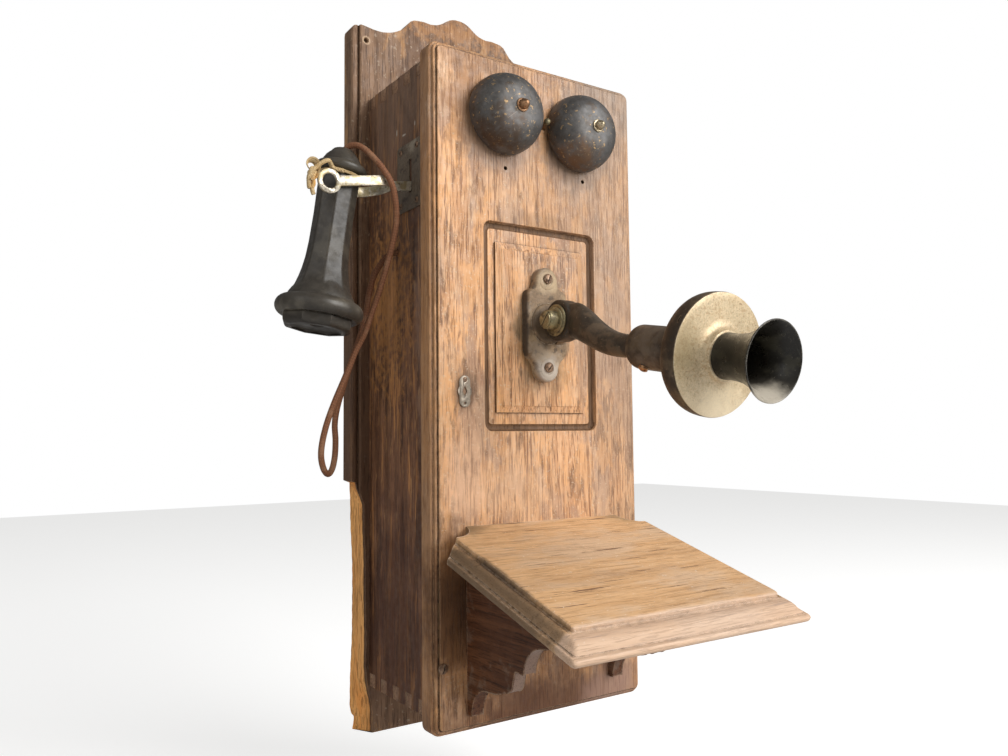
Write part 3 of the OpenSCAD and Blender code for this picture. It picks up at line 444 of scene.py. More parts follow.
class Braid(Effect):
    """Crossing yarns on a round cord, read from its own run: U round it, V along it."""

    inputs = {"Round": 4.0, "Along": 1.0}
    outputs = {"Height": "Float", "Over": "Float"}

    def build(self, tree: Tree, given: dict[str, Socket]) -> dict[str, Socket]:
        """Builds the braid.

        Args:
            tree: the group's tree.
            given: the group's inputs by name.

        Returns:
            Height and which yarn lies over.
        """
        split = tree.node("SeparateXYZ", {0: given["Vector"]})
        across = tree.times(tree.times(split.outputs["X"], given["Round"]), math.tau)
        down = tree.times(tree.times(split.outputs["Y"], given["Along"]), math.tau)
        one = tree.math("SINE", tree.math("ADD", across, down))
        two = tree.math("SINE", tree.math("SUBTRACT", across, down))
        over = tree.ramp(tree.times(one, two), -0.25, 0.25)
        height = tree.math("MAXIMUM", tree.math("ABSOLUTE", one), tree.math("ABSOLUTE", two))
        return {"Height": height, "Over": over}


class Windings(Effect):
    """Fine turns of wire or turning marks, square to the vector's Z."""

    inputs = {"Spacing": 0.0008}
    outputs = {"Height": "Float"}

    def build(self, tree: Tree, given: dict[str, Socket]) -> dict[str, Socket]:
        """Builds the turns.

        Args:
            tree: the group's tree.
            given: the group's inputs by name.

        Returns:
            The height.
        """
        along = tree.node("SeparateXYZ", {0: given["Vector"]}).outputs["Z"]
        turns = tree.times(tree.math("DIVIDE", along, given["Spacing"]), math.tau)
        return {"Height": tree.math("SINE", turns)}


# Finishes
def darker(colour: Colour, factor: float) -> Colour:
    """Returns the colour times a factor."""
    return tuple(c * factor for c in colour)


class Run(Enum):
    """The way the grain, braid or turns run."""

    UPRIGHT = ("X", "Y", "Z")
    ACROSS = ("Z", "Y", "X")
    OUTWARD = ("X", "Z", "Y")

    def turned(self, tree: Tree, where: Socket) -> Socket:
        """Swaps a vector's axes so that its Z follows the run.

        Args:
            tree: the material's tree.
            where: place on the object in metres.

        Returns:
            The turned vector.
        """
        split = tree.node("SeparateXYZ", {0: where})
        return tree.node("CombineXYZ", {i: split.outputs[a] for i, a in enumerate(self.value)}).outputs[0]


@dataclass(frozen=True)
class Layer:
    """A colour that shows in ragged patches."""

    colour: Colour
    amount: float
    scale: float = 40.0
    low: float = 0.5
    high: float = 0.62
    stretch: Point = (1.0, 1.0, 1.0)


@dataclass(frozen=True)
class Spot:
    """A stain, a pale place, painted shade or a painted highlight at one point, given in millimetres."""

    centre: Point
    radii: Point
    colour: Colour
    strength: float
    soft: float = 0.6
    ragged: float = 0.3
    scale: float = 60.0


@dataclass(frozen=True)
class Wear:
    """A colour that shows in grooves, on edges, in scratches or as dust; its reach is in millimetres."""

    colour: Colour
    amount: float
    reach: float = 1.0


@dataclass(frozen=True)
class Finish:
    """What all finishes share: patches, spots (some are painted shade or highlights), dirt and painted shade
    in grooves, worn edges, dust, scratches and gloss.
    """

    name: str
    colour: Colour
    layers: tuple[Layer, ...] = ()
    spots: tuple[Spot, ...] = ()
    groove: Optional[Wear] = None
    edge: Optional[Wear] = None
    scratch: Optional[Wear] = None
    dust: Optional[Wear] = None
    smooth: float = 0.35
    dull: float = 0.6
    metallic: float = 0.0
    specular: float = 0.5
    coat: float = 0.0
    furrows: float = 0.5
    relief: float = 0.15
    relief_scale: float = 500.0

    def base(self, tree: Tree, where: Socket) -> Ground:
        """Gives the finish's own colour and height, before wear.

        Args:
            tree: the material's tree.
            where: place on the object in metres.

        Returns:
            Colour, height and the furrows that show through every patch, if there are any.
        """
        cloud = tree.noise(where, self.relief_scale)
        return tree.mix(tree.ramp(cloud, 0.3, 0.7), darker(self.colour, 0.72), self.colour), cloud, None

    def material(self) -> bpy.types.Material:
        """Makes the material, or finds it.

        Returns:
            The material.
        """
        if self.name in bpy.data.materials:
            return bpy.data.materials[self.name]
        made = bpy.data.materials.new(self.name)
        made.use_nodes = True
        made.node_tree.nodes.clear()
        tree = Tree(made.node_tree)
        where = tree.node("TexCoord").outputs["Object"]
        colour, height, furrow = self.base(tree, where)
        for layer in self.layers:
            place = tree.stretched(where, layer.stretch)
            mask = Blotches().place(tree, Vector=place, Scale=layer.scale, Low=layer.low, High=layer.high)
            colour = tree.mix(tree.times(mask.outputs["Mask"], layer.amount), colour, layer.colour)
        for spot in self.spots:
            mask = Halo().place(tree, Vector=where, Centre=[c * MM for c in spot.centre],
                                Radii=[r * MM for r in spot.radii], Soft=spot.soft,
                                Ragged=spot.ragged, Scale=spot.scale)
            colour = tree.mix(tree.times(mask.outputs["Mask"], spot.strength), colour, spot.colour)
        if furrow is not None:
            colour = tree.mix(tree.times(furrow, self.furrows), colour, FURROW_SHADE, "MULTIPLY")
        # Grooves take dirt and painted shade, edges wear, then scratches and dust.
        for wear, effect, size in ((self.groove, GrooveDirt(), "Reach"), (self.edge, EdgeWear(), "Radius"),
                                   (self.scratch, Scratches(), None), (self.dust, SettledDust(), None)):
            if wear:
                more = {size: wear.reach * MM} if size else {}
                mask = effect.place(tree, Vector=where, Amount=wear.amount, **more)
                colour = tree.mix(mask.outputs["Mask"], colour, wear.colour)
        gloss = tree.ramp(tree.noise(where, GLOSS_SCALE), 0.3, 0.7, self.smooth, self.dull)
        normal = tree.node("Bump", {"Height": height, "Strength": 1.0, "Distance": self.relief * MM})
        shader = tree.node("BsdfPrincipled", {"Base Color": colour, "Roughness": gloss,
                                              "Metallic": self.metallic, "Specular IOR Level": self.specular,
                                              "Coat Weight": self.coat, "Coat Roughness": COAT_ROUGHNESS,
                                              "Normal": normal.outputs[0]})
        sink = tree.node("OutputMaterial")
        made.node_tree.links.new(shader.outputs[0], sink.inputs["Surface"])
        return made


@dataclass(frozen=True)
class Oak(Finish):
    """Stained and varnished wood."""

    light: Colour = (0.6, 0.36, 0.18)
    deep: Colour = (0.25, 0.13, 0.06)
    run: Run = Run.UPRIGHT
    pores: float = 0.6
    flecks: float = 0.3

    def base(self, tree: Tree, where: Socket) -> Ground:
        """Gives the grain.

        Args:
            tree: the material's tree.
            where: place on the object in metres.

        Returns:
            Colour, height and furrows.
        """
        grain = OakGrain().place(tree, Vector=self.run.turned(tree, where), Light=self.light,
                                 Middle=self.colour, Dark=self.deep, Pores=self.pores, Flecks=self.flecks)
        return grain.outputs["Color"], grain.outputs["Height"], grain.outputs["Furrow"]


@dataclass(frozen=True)
class Wound(Finish):
    """Covered wire, wound turns or turned metal."""

    run: Run = Run.UPRIGHT
    spacing: float = 0.8
    depth: float = 0.3

    def base(self, tree: Tree, where: Socket) -> Ground:
        """Gives the turns.

        Args:
            tree: the material's tree.
            where: place on the object in metres.

        Returns:
            Colour, height and furrows.
        """
        turns = Windings().place(tree, Vector=self.run.turned(tree, where), Spacing=self.spacing * MM)
        height = turns.outputs["Height"]
        # The valleys between turns are painted darker: painted shade.
        groove = darker(self.colour, 1.0 - self.depth)
        return tree.mix(tree.ramp(height, -1.0, 0.2), groove, self.colour), height, None


@dataclass(frozen=True)
class Braided(Finish):
    """Braided or twisted yarn that follows its own run."""

    second: Colour = (0.2, 0.1, 0.07)
    round_count: float = 4.0
    along_count: float = 1.0

    def base(self, tree: Tree, where: Socket) -> Ground:
        """Gives the yarns.

        Args:
            tree: the material's tree.
            where: place on the object in metres.

        Returns:
            Colour, height and furrows.
        """
        run = tree.node("TexCoord").outputs["UV"]
        yarns = Braid().place(tree, Vector=run, Round=self.round_count, Along=self.along_count)
        fluff = tree.noise(where, 1400.0, 3.0, 0.5)
        height = yarns.outputs["Height"]
        colour = tree.mix(yarns.outputs["Over"], self.second, self.colour)
        # Darker where the yarns dip: painted shade between them.
        colour = tree.mix(tree.ramp(height, 0.75, 0.45), colour, darker(self.second, 0.45))
        colour = tree.mix(tree.ramp(fluff, 0.35, 0.7), colour, darker(self.colour, 0.8))
        return colour, tree.math("ADD", height, tree.times(fluff, 0.3)), None


# Shared shapes
def moved(x: float, y: float, z: float) -> Matrix:
    """Returns a place that many millimetres away."""
    return Matrix.Translation((x, y, z))


def turned(angle: float, axis: str) -> Matrix:
    """Returns a turn of so many degrees about an axis."""
    return Matrix.Rotation(math.radians(angle), 4, axis)


def sideways(x: float, forward: float) -> Matrix:
    """Returns a place whose own X runs along Y, its Y up and its Z along X."""
    return Matrix(((0, 0, 1, x), (forward, 0, 0, 0), (0, 1, 0, 0), (0, 0, 0, 1)))


def circle(radius: float, height: float, sides: int, start: float = 0.0) -> list[Point]:
    """Draws a level circle.

    Args:
        radius: its radius.
        height: its height.
        sides: steps round it.
        start: angle of its first point, in radians.

    Returns:
        The ring's points.
    """
    turns = [math.tau * k / sides + start for k in range(sides)]
    return [(radius * math.cos(a), radius * math.sin(a), height) for a in turns]


def smooth_run(points: Sequence[Sequence[float]], steps: int) -> list[Vector]:
    """Draws a smooth curve through chosen points.

    Args:
        points: the points, in two or three coordinates.
        steps: number of steps on each run between them.

    Returns:
        The curve's points.
    """
    p = [Vector(q) for q in points]
    curve = []
    for i in range(len(p) - 1):
        a, b, c, d = p[max(i - 1, 0)], p[i], p[i + 1], p[min(i + 2, len(p) - 1)]
        for j in range(steps):
            t = j / steps
            curve.append(0.5 * ((2 * b) + (c - a) * t + (2 * a - 5 * b + 4 * c - d) * t * t
                                + (3 * b - a - 3 * c + d) * t ** 3))
    return curve + [p[-1]]


def smooth_profile(points: Sequence[Flat], steps: int) -> list[Flat]:
    """Draws a smooth profile through chosen points.

    Args:
        points: the points.
        steps: number of steps on each run between them.

    Returns:
        The profile's points.
    """
    return [(p.x, p.y) for p in smooth_run(points, steps)]


def arc(cx: float, cz: float, radius: float, start: float, end: float, steps: int) -> list[Flat]:
    """Draws an arc from one angle to another, in degrees.

    Args:
        cx: centre across.
        cz: centre up.
        radius: its radius.
        start: first angle.
        end: last angle.
        steps: number of steps.

    Returns:
        The arc's points.
    """
    turns = [math.radians(start + (end - start) * i / steps) for i in range(steps + 1)]
    return [(cx + radius * math.cos(a), cz + radius * math.sin(a)) for a in turns]


def reading(table: Sequence[Flat], place: float) -> float:
    """Reads a table of falling places and their values.

    Args:
        table: place and value of each entry.
        place: where it is read.

    Returns:
        The value there.
    """
    for (pa, va), (pb, vb) in zip(table, table[1:]):
        if place >= pb:
            return va + (vb - va) * (pa - place) / (pa - pb)
    return table[-1][1]


def rounded_box(x0: float, x1: float, z0: float, z1: float, radius: float, steps: int = 7) -> list[Flat]:
    """Draws a rectangle with rounded corners, always with the same number of points.

    Args:
        x0: left side.
        x1: right side.
        z0: lower side.
        z1: upper side.
        radius: corner radius.
        steps: steps on each corner.

    Returns:
        The outline, anticlockwise.
    """
    r = max(radius, LEAST_CORNER)
    corners = ((x1 - r, z0 + r, -90), (x1 - r, z1 - r, 0), (x0 + r, z1 - r, 90), (x0 + r, z0 + r, 180))
    return [p for cx, cz, a in corners for p in arc(cx, cz, r, a, a + 90, steps)]


def inset(outline: Sequence[Flat], amount: float) -> list[Flat]:
    """Draws an anticlockwise outline again, a little further in.

    Args:
        outline: the outline.
        amount: how far in.

    Returns:
        The smaller outline, with the same number of points.
    """
    n = len(outline)
    result = []
    for i, (x, z) in enumerate(outline):
        before = Vector(outline[i]) - Vector(outline[i - 1])
        after = Vector(outline[(i + 1) % n]) - Vector(outline[i])
        a, b = (Vector((-v.y, v.x)).normalized() for v in (before, after))
        half = a + b
        scale = 2.0 / max(half.length_squared, MITRE_LIMIT)
        result.append((x + half.x * scale * amount, z + half.y * scale * amount))
    return result


class Form:
    """Collects rings, tubes and plates, in millimetres, into one piece."""

    def __init__(self) -> None:
        """Starts an empty mesh."""
        self.mesh = bmesh.new()
        self.run = self.mesh.loops.layers.uv.new("Run")

    def skin(self, rings: Sequence[Sequence[Sequence[float]]], place: Matrix = Matrix(),
             closed: bool = False, caps: bool = True, along: Optional[Sequence[float]] = None) -> "Form":
        """Stretches a skin over rings with the same number of points.

        Args:
            rings: the rings, in order.
            place: where they stand.
            closed: whether the last ring joins the first.
            caps: whether the two ends are filled.
            along: length of the run at each ring, for a braid.

        Returns:
            The form itself.
        """
        rows = [[self.mesh.verts.new(place @ Vector(p)) for p in ring] for ring in rings]
        n = len(rows[0])
        count = len(rows) if closed else len(rows) - 1
        for j in range(count):
            a, b = rows[j], rows[(j + 1) % len(rows)]
            for k in range(n):
                m = (k + 1) % n
                face = self.mesh.faces.new((a[k], a[m], b[m], b[k]))
                if along is not None:
                    marks = ((k, j), (k + 1, j), (k + 1, j + 1), (k, j + 1))
                    for loop, (u, v) in zip(face.loops, marks):
                        loop[self.run].uv = (u / n, along[v])
        if caps and not closed:
            self.mesh.faces.new(rows[0])
            self.mesh.faces.new(rows[-1])
        return self

    def lathe(self, profile: Sequence[Flat], place: Matrix = Matrix(), sides: int = 96,
              closed: bool = False, caps: bool = False) -> "Form":
        """Turns a profile round the place's Z.

        Args:
            profile: radius and height of each point.
            place: where it stands.
            sides: steps round it.
            closed: whether the profile is a closed outline.
            caps: whether its ends are filled.

        Returns:
            The form itself.
        """
        return self.skin([circle(r, s, sides) for r, s in profile], place, closed, caps)

    def tube(self, path: Sequence[Vector], radii: Sequence[Flat], sides: int = 12,
             place: Matrix = Matrix(), side: Point = (0.3, 1.0, 0.2)) -> "Form":
        """Sweeps an oval ring along a path.

        Args:
            path: the path's points.
            radii: sideways and upward radius at each point.
            sides: steps round it.
            place: where it stands.
            side: the sideways direction at the start.

        Returns:
            The form itself.
        """
        rings, along, length = [], [], 0.0
        across = Vector(side)
        for i, spot in enumerate(path):
            run = (path[min(i + 1, len(path) - 1)] - path[max(i - 1, 0)]).normalized()
            across = (across - across.dot(run) * run).normalized()
            up = run.cross(across)
            length += (spot - path[i - 1]).length if i else 0.0
            along.append(length / max(2 * radii[i][0], 0.01))
            rings.append([spot + across * (radii[i][0] * c) + up * (radii[i][1] * s)
                          for c, s, _ in circle(1.0, 0.0, sides)])
        return self.skin(rings, place, along=along)

    def plate(self, outline: Sequence[Flat], steps: Sequence[Flat], place: Matrix = Matrix()) -> "Form":
        """Raises an outline through steps of inset and height.

        Args:
            outline: the outline, anticlockwise.
            steps: inset and height of each step.
            place: where it stands.

        Returns:
            The form itself.
        """
        rings = [[(x, z, h) for x, z in inset(outline, i)] for i, h in steps]
        return self.skin(rings, place)

    def piece(self, name: str, finish: Finish, sharp: float = SHARP) -> bpy.types.Object:
        """Turns the form into an object in metres.

        Args:
            name: the piece's name.
            finish: its finish.
            sharp: angle in degrees above which an edge stays sharp.

        Returns:
            The object.
        """
        bmesh.ops.remove_doubles(self.mesh, verts=self.mesh.verts, dist=MERGE_REACH)
        bmesh.ops.recalc_face_normals(self.mesh, faces=self.mesh.faces)
        data = bpy.data.meshes.new(name)
        bmesh.ops.scale(self.mesh, vec=(MM, MM, MM), verts=self.mesh.verts)
        self.mesh.to_mesh(data)
        self.mesh.free()
        data.shade_smooth()
        data.set_sharp_from_angle(angle=math.radians(sharp))
        data.materials.append(finish.material())
        made = bpy.data.objects.new(name, data)
        bpy.context.scene.collection.objects.link(made)
        return made


def add_rounding(made: bpy.types.Object, width: float) -> None:
    """Rounds an object's sharp edges a little.

    Args:
        made: the object.
        width: width of the rounding in millimetres.
    """
    soft = made.modifiers.new("Rounded", "BEVEL")
    soft.width = width * MM
    soft.segments = 2
    soft.limit_method = "ANGLE"
    soft.angle_limit = math.radians(ROUNDED_FROM)
    soft.harden_normals = True


def settle(made: bpy.types.Object) -> None:
    """Makes an object's modifiers part of its mesh.

    Args:
        made: the object.
    """
    view = bpy.context.evaluated_depsgraph_get()
    data = bpy.data.meshes.new_from_object(made.evaluated_get(view))
    made.modifiers.clear()
    made.data = data


def cut(made: bpy.types.Object, forms: Sequence[Form], finish: Finish, sharp: float) -> None:
    """Cuts forms out of an object.

    Args:
        made: the object.
        forms: what is cut away.
        finish: the finish of the cut faces.
        sharp: angle in degrees above which an edge stays sharp.
    """
    tools = [form.piece("tool", finish) for form in forms]
    for tool in tools:
        step = made.modifiers.new("Cut", "BOOLEAN")
        step.operation = "DIFFERENCE"
        step.solver = "EXACT"
        step.object = tool
    settle(made)
    for tool in tools:
        bpy.data.objects.remove(tool)
    made.data.shade_smooth()
    made.data.set_sharp_from_angle(angle=math.radians(sharp))


def stand(made: bpy.types.Object, body: str, slot: str, *nodes: str) -> bpy.types.Object:
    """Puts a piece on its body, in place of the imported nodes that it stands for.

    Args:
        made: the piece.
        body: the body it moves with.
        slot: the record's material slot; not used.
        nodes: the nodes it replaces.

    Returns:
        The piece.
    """
    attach(made, body)
    if nodes:
        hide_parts(*nodes)
    LOG.info("%s rides on %s", made.name, body)
    return made


def smooth_shading() -> bpy.types.NodeTree:
    """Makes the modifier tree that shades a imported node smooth, apart from its sharp edges.

    Returns:
        The tree.
    """
    name = "Smooth shading"
    if name in bpy.data.node_groups:
        return bpy.data.node_groups[name]
    made = bpy.data.node_groups.new(name, "GeometryNodeTree")
    made.interface.new_socket(name="Geometry", in_out="INPUT", socket_type="NodeSocketGeometry")
    made.interface.new_socket(name="Geometry", in_out="OUTPUT", socket_type="NodeSocketGeometry")
    source, sink, angle, limit, faces, edges = (made.nodes.new(kind) for kind in (
        "NodeGroupInput", "NodeGroupOutput", "GeometryNodeInputMeshEdgeAngle", "FunctionNodeCompare",
        "GeometryNodeSetShadeSmooth", "GeometryNodeSetShadeSmooth"))
    limit.operation = "GREATER_THAN"
    limit.inputs[1].default_value = math.radians(SHARP)
    edges.domain = "EDGE"
    edges.inputs["Shade Smooth"].default_value = False
    for start, end in ((source.outputs[0], faces.inputs["Geometry"]),
                       (faces.outputs[0], edges.inputs["Geometry"]),
                       (angle.outputs["Unsigned Angle"], limit.inputs[0]),
                       (limit.outputs[0], edges.inputs["Selection"]), (edges.outputs[0], sink.inputs[0])):
        made.links.new(start, end)
    return made


def dress(finish: Finish, *nodes: str, rounding: float = 0.0) -> None:
    """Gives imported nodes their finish, smooth shading and softened edges.

    Args:
        finish: the finish.
        nodes: the nodes' names.
        rounding: width of the rounding on their edges, in millimetres.
    """
    for name in nodes:
        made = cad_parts[name]
        for held in made.material_slots:
            held.material = finish.material()
        weld = made.modifiers.new("Weld", "WELD")
        weld.merge_threshold = WELD_REACH
        if rounding:
            flat = made.modifiers.new("Flat", "DECIMATE")
            flat.decimate_type = "DISSOLVE"
            flat.angle_limit = math.radians(FLAT_ANGLE)
            add_rounding(made, rounding)
        shade = made.modifiers.new("Shade", "NODES")
        shade.node_group = smooth_shading()
        LOG.info("%s stays, in %s", name, finish.name)


# Finishes of this telephone
# Groove colour: dirt together with painted shade in grooves and corners.
GROOVE_DIRT_AND_SHADE = (0.035, 0.02, 0.012)
PALE_DUST = (0.45, 0.38, 0.29)
PALE_MARK = (0.5, 0.42, 0.33)
DOOR_OAK = Oak(
    "Door oak", (0.57, 0.29, 0.13), light=(0.72, 0.4, 0.2), deep=(0.19, 0.08, 0.032), pores=0.6,
    flecks=0.45, smooth=0.36, dull=0.6, specular=0.35, relief=0.22, edge=Wear((0.66, 0.4, 0.2), 0.7, 0.9),
    groove=Wear((0.045, 0.026, 0.016), 0.95, 6),
    layers=(Layer((0.34, 0.205, 0.135), 0.66, 15, 0.5, 0.56, (1, 1, 0.4)),
        Layer((0.76, 0.385, 0.15), 0.5, 34, 0.53, 0.57, (1, 1, 0.36)),
        Layer((0.56, 0.37, 0.235), 0.4, 30, 0.52, 0.62, (1, 1, 0.35)),
        Layer((0.14, 0.065, 0.028), 0.62, 130, 0.54, 0.64, (1, 1, 0.25)),
        Layer((0.8, 0.52, 0.3), 0.34, 210, 0.57, 0.65, (1, 1, 0.28)),
        Layer((0.62, 0.48, 0.34), 0.6, 520, 0.59, 0.65)),
    spots=(Spot((105, -172, 60), (95, 60, 380), (0.35, 0.23, 0.15), 0.62, 0.9, 0.5, 22),
        Spot((90, -172, 262), (90, 60, 90), (0.27, 0.21, 0.165), 0.72, 0.8, 0.5, 30),
        Spot((-88, -172, 225), (34, 60, 62), (0.3, 0.135, 0.05), 0.66, 0.8, 1.1),
        Spot((10, -172, 150), (120, 60, 38), (0.4, 0.235, 0.13), 0.45, 0.9, 0.7, 40),
        # Pale patch at the lower left: painted sheen.
        Spot((-88, -172, -118), (40, 60, 62), (0.88, 0.55, 0.34), 0.6, 0.9, 0.8, 40),
        Spot((-118, -158, -60), (8, 30, 470), (0.34, 0.165, 0.068), 0.6, 0.35, 0.9, 90),
        # Dark patch under the shelf's left end: painted shadow of the shelf.
        Spot((-96, -172, -232), (46, 60, 86), (0.135, 0.058, 0.021), 0.86, 0.6, 0.5, 50),
        # Pale patch lower on the door: painted sheen.
        Spot((-30, -172, -135), (60, 60, 50), (0.82, 0.5, 0.28), 0.5, 0.9, 0.8, 40),
        Spot((0, -172, 120), (44, 30, 14), (0.26, 0.15, 0.075), 0.5, 0.8, 0.7),
        Spot((-50, -172, 262), (90, 60, 22), (0.25, 0.13, 0.065), 0.6, 0.8, 0.7, 50),
        # Dark band along the door's bottom: painted shade below the shelf.
        Spot((0, -172, -345), (170, 60, 70), (0.12, 0.045, 0.017), 0.92, 0.7, 0.5, 30),
        Spot((75, -172, -330), (50, 60, 50), (0.44, 0.27, 0.2), 0.6, 0.8, 0.5, 30),
        # Dark band just under the shelf: painted shadow of the shelf.
        Spot((0, -172, -228), (135, 60, 66), (0.045, 0.018, 0.007), 0.97, 0.5, 0.25, 30),
        # Halos round the gongs and round the bracket: dirt with painted shade of those parts.
        Spot((-45, -172, 196), (56, 30, 56), (0.24, 0.17, 0.13), 0.72, 0.6, 0.4, 50),
        Spot((43, -172, 194), (56, 30, 56), (0.2, 0.15, 0.115), 0.72, 0.6, 0.4, 50),
        Spot((0, -172, 14), (46, 30, 76), (0.13, 0.095, 0.05), 0.72, 0.6, 0.45),
        Spot((-86.3, -172, -43.5), (17, 20, 22), (0.16, 0.095, 0.055), 0.7, 0.6, 0.4, 90),
        Spot((23, -172, -205), (0.9, 20, 150), (0.2, 0.09, 0.035), 0.6, 0.7, 0.3, 80)))
# Darker oak for the frame groove's floor and the panel's left and lower steps: painted shade.
SHADED_FRAME_OAK = Oak(
    "Frame groove painted shade", (0.13, 0.068, 0.032), light=(0.19, 0.1, 0.048), deep=(0.05, 0.026, 0.013),
    pores=0.5, flecks=0.2, smooth=0.5, dull=0.7, specular=0.3, relief=0.14)
BOARD_OAK = Oak(
    "Backboard oak", (0.2, 0.115, 0.066), light=(0.29, 0.172, 0.1), deep=(0.075, 0.037, 0.02), pores=0.6,
    flecks=0.4, smooth=0.45, dull=0.7, specular=0.3, relief=0.16, edge=Wear((0.46, 0.28, 0.15), 0.6, 0.9),
    groove=Wear((0.05, 0.028, 0.017), 0.65, 3.5),
    layers=(Layer((0.15, 0.08, 0.045), 0.65, 12, 0.5, 0.6, (1, 1, 0.5)),
        Layer((0.52, 0.28, 0.12), 0.6, 60, 0.56, 0.64, (1, 1, 0.3)),
        Layer((0.52, 0.41, 0.3), 0.5, 260, 0.6, 0.66)),
    spots=(Spot((-112, -10, -110), (46, 60, 330), (0.1, 0.048, 0.025), 0.8, 0.5, 0.3, 40),
        Spot((0, -20, 366), (125, 30, 22), (0.46, 0.22, 0.08), 0.55, 0.8, 1.8, 150),
        Spot((-112, -22, 329.6), (5.4, 8, 5.4), (0.55, 0.38, 0.24), 0.8, 0.3, 0.3, 300),
        Spot((112, -22, 329.6), (5.4, 8, 5.4), (0.55, 0.38, 0.24), 0.8, 0.3, 0.3, 300)))
SPLIT_OAK = Oak(
    "Split oak", (0.93, 0.395, 0.11), light=(0.98, 0.505, 0.175), deep=(0.44, 0.19, 0.07), pores=0.35,
    flecks=0.3, smooth=0.6, dull=0.8, specular=0.2, relief=0.6,
    layers=(Layer((0.4, 0.19, 0.07), 0.3, 45, 0.52, 0.62, (1, 1, 0.25)),))
SIDE_OAK = Oak(
    "Side oak", (0.2, 0.092, 0.046), light=(0.31, 0.148, 0.076), deep=(0.062, 0.028, 0.016), pores=0.5,
    flecks=0.3, smooth=0.4, dull=0.6, specular=0.3, relief=0.14, edge=Wear((0.46, 0.23, 0.09), 0.6, 0.9),
    groove=Wear((0.012, 0.007, 0.005), 0.8, 4),
    layers=(Layer((0.115, 0.055, 0.032), 0.65, 14, 0.48, 0.6, (1, 1, 0.5)),
        Layer((0.58, 0.26, 0.09), 0.75, 120, 0.55, 0.6, (1, 1, 0.1)),
        Layer((0.05, 0.022, 0.012), 0.7, 70, 0.52, 0.6, (1, 1, 0.14)),
        Layer((0.5, 0.26, 0.11), 0.7, 300, 0.59, 0.64, (1, 1, 0.14))),
    spots=(Spot((-108, -80, 235), (20, 100, 90), (0.2, 0.125, 0.085), 0.7, 0.7, 0.4, 30),
        # Darker low down the side: painted shade.
        Spot((-108, -80, -270), (20, 110, 230), (0.075, 0.023, 0.009), 0.8, 0.9, 0.6, 30),
        Spot((-108, -66, 45), (20, 64, 105), (0.56, 0.25, 0.08), 0.7, 0.9, 1.6, 130),
        Spot((-108, -132, 60), (20, 16, 190), (0.3, 0.2, 0.15), 0.5, 0.8, 1),
        Spot((-108, -84, 212.5), (6, 1.3, 4.2), (0.62, 0.55, 0.46), 0.85, 0.5, 0.4, 400),
        Spot((-108, -99, 206), (6, 4.6, 1.3), (0.62, 0.55, 0.46), 0.8, 0.5, 0.5, 400),
        Spot((-108, -121, 211), (6, 1.4, 2.8), (0.55, 0.48, 0.4), 0.8, 0.5, 0.4, 400)))
END_OAK = Oak(
    "End board oak", (0.28, 0.155, 0.09), light=(0.38, 0.22, 0.13), deep=(0.1, 0.05, 0.03), run=Run.ACROSS,
    pores=0.6, smooth=0.45, dull=0.65, specular=0.3, relief=0.12, edge=Wear((0.45, 0.26, 0.13), 0.5, 0.9),
    groove=Wear(GROOVE_DIRT_AND_SHADE, 0.8, 5), dust=Wear(PALE_DUST, 0.35),
    layers=(Layer((0.08, 0.045, 0.03), 0.6, 18, 0.5, 0.6),))
INNER_OAK = Oak(
    "Inner oak", (0.46, 0.3, 0.17), light=(0.58, 0.42, 0.26), deep=(0.24, 0.13, 0.06), run=Run.ACROSS,
    smooth=0.55, dull=0.75, specular=0.3, layers=(Layer((0.3, 0.19, 0.11), 0.5, 20),),
    dust=Wear(PALE_DUST, 0.3))
SHELF_OAK = Oak(
    "Shelf oak", (0.66, 0.39, 0.19), light=(0.74, 0.46, 0.24), deep=(0.4, 0.215, 0.095), run=Run.ACROSS,
    pores=0.4, flecks=0.4, furrows=0.28, smooth=0.42, dull=0.66, specular=0.35, relief=0.16,
    edge=Wear((0.74, 0.56, 0.42), 0.7, 1.6), groove=Wear((0.06, 0.035, 0.02), 0.95, 5),
    layers=(Layer((0.66, 0.5, 0.36), 0.45, 20, 0.48, 0.62, (0.4, 1, 1)),
        Layer((0.15, 0.07, 0.035), 0.8, 260, 0.62, 0.65, (0.045, 1, 1)),
        Layer((0.88, 0.76, 0.6), 0.7, 420, 0.64, 0.68)),
    spots=(Spot((-121, -262, -200), (17, 122, 60), (0.13, 0.085, 0.05), 0.85, 0.35),
        # Pale bands along the front nose: painted reflection of the light.
        Spot((0, -364, -222), (420, 18, 30), (0.6, 0.44, 0.34), 0.62, 0.16, 0.12),
        Spot((0, -380, -232), (420, 9, 12), (0.66, 0.54, 0.46), 0.6, 0.5, 0.4),
        Spot((-100, -176, -165), (46, 22, 30), (0.15, 0.1, 0.05), 0.75, 0.7, 0.4),
        Spot((100, -176, -165), (46, 22, 30), (0.25, 0.18, 0.1), 0.6, 0.7, 0.4)))
BRACKET_WOOD = Oak(
    "Bracket wood", (0.085, 0.03, 0.012), light=(0.14, 0.054, 0.022), deep=(0.028, 0.011, 0.005),
    run=Run.OUTWARD, pores=0.5, flecks=0.2, smooth=0.45, dull=0.65, specular=0.3, relief=0.14,
    edge=Wear((0.42, 0.29, 0.19), 0.8, 1.8), groove=Wear((0.01, 0.006, 0.004), 0.6, 5),
    layers=(Layer((0.2, 0.14, 0.1), 0.5, 40, 0.52),),
    spots=(Spot((-76, -262, -262), (9.2, 90, 70), (0.32, 0.22, 0.17), 0.8, 0.12, 0.1),
        Spot((82, -262, -262), (8, 90, 70), (0.3, 0.21, 0.16), 0.7, 0.12, 0.1)))
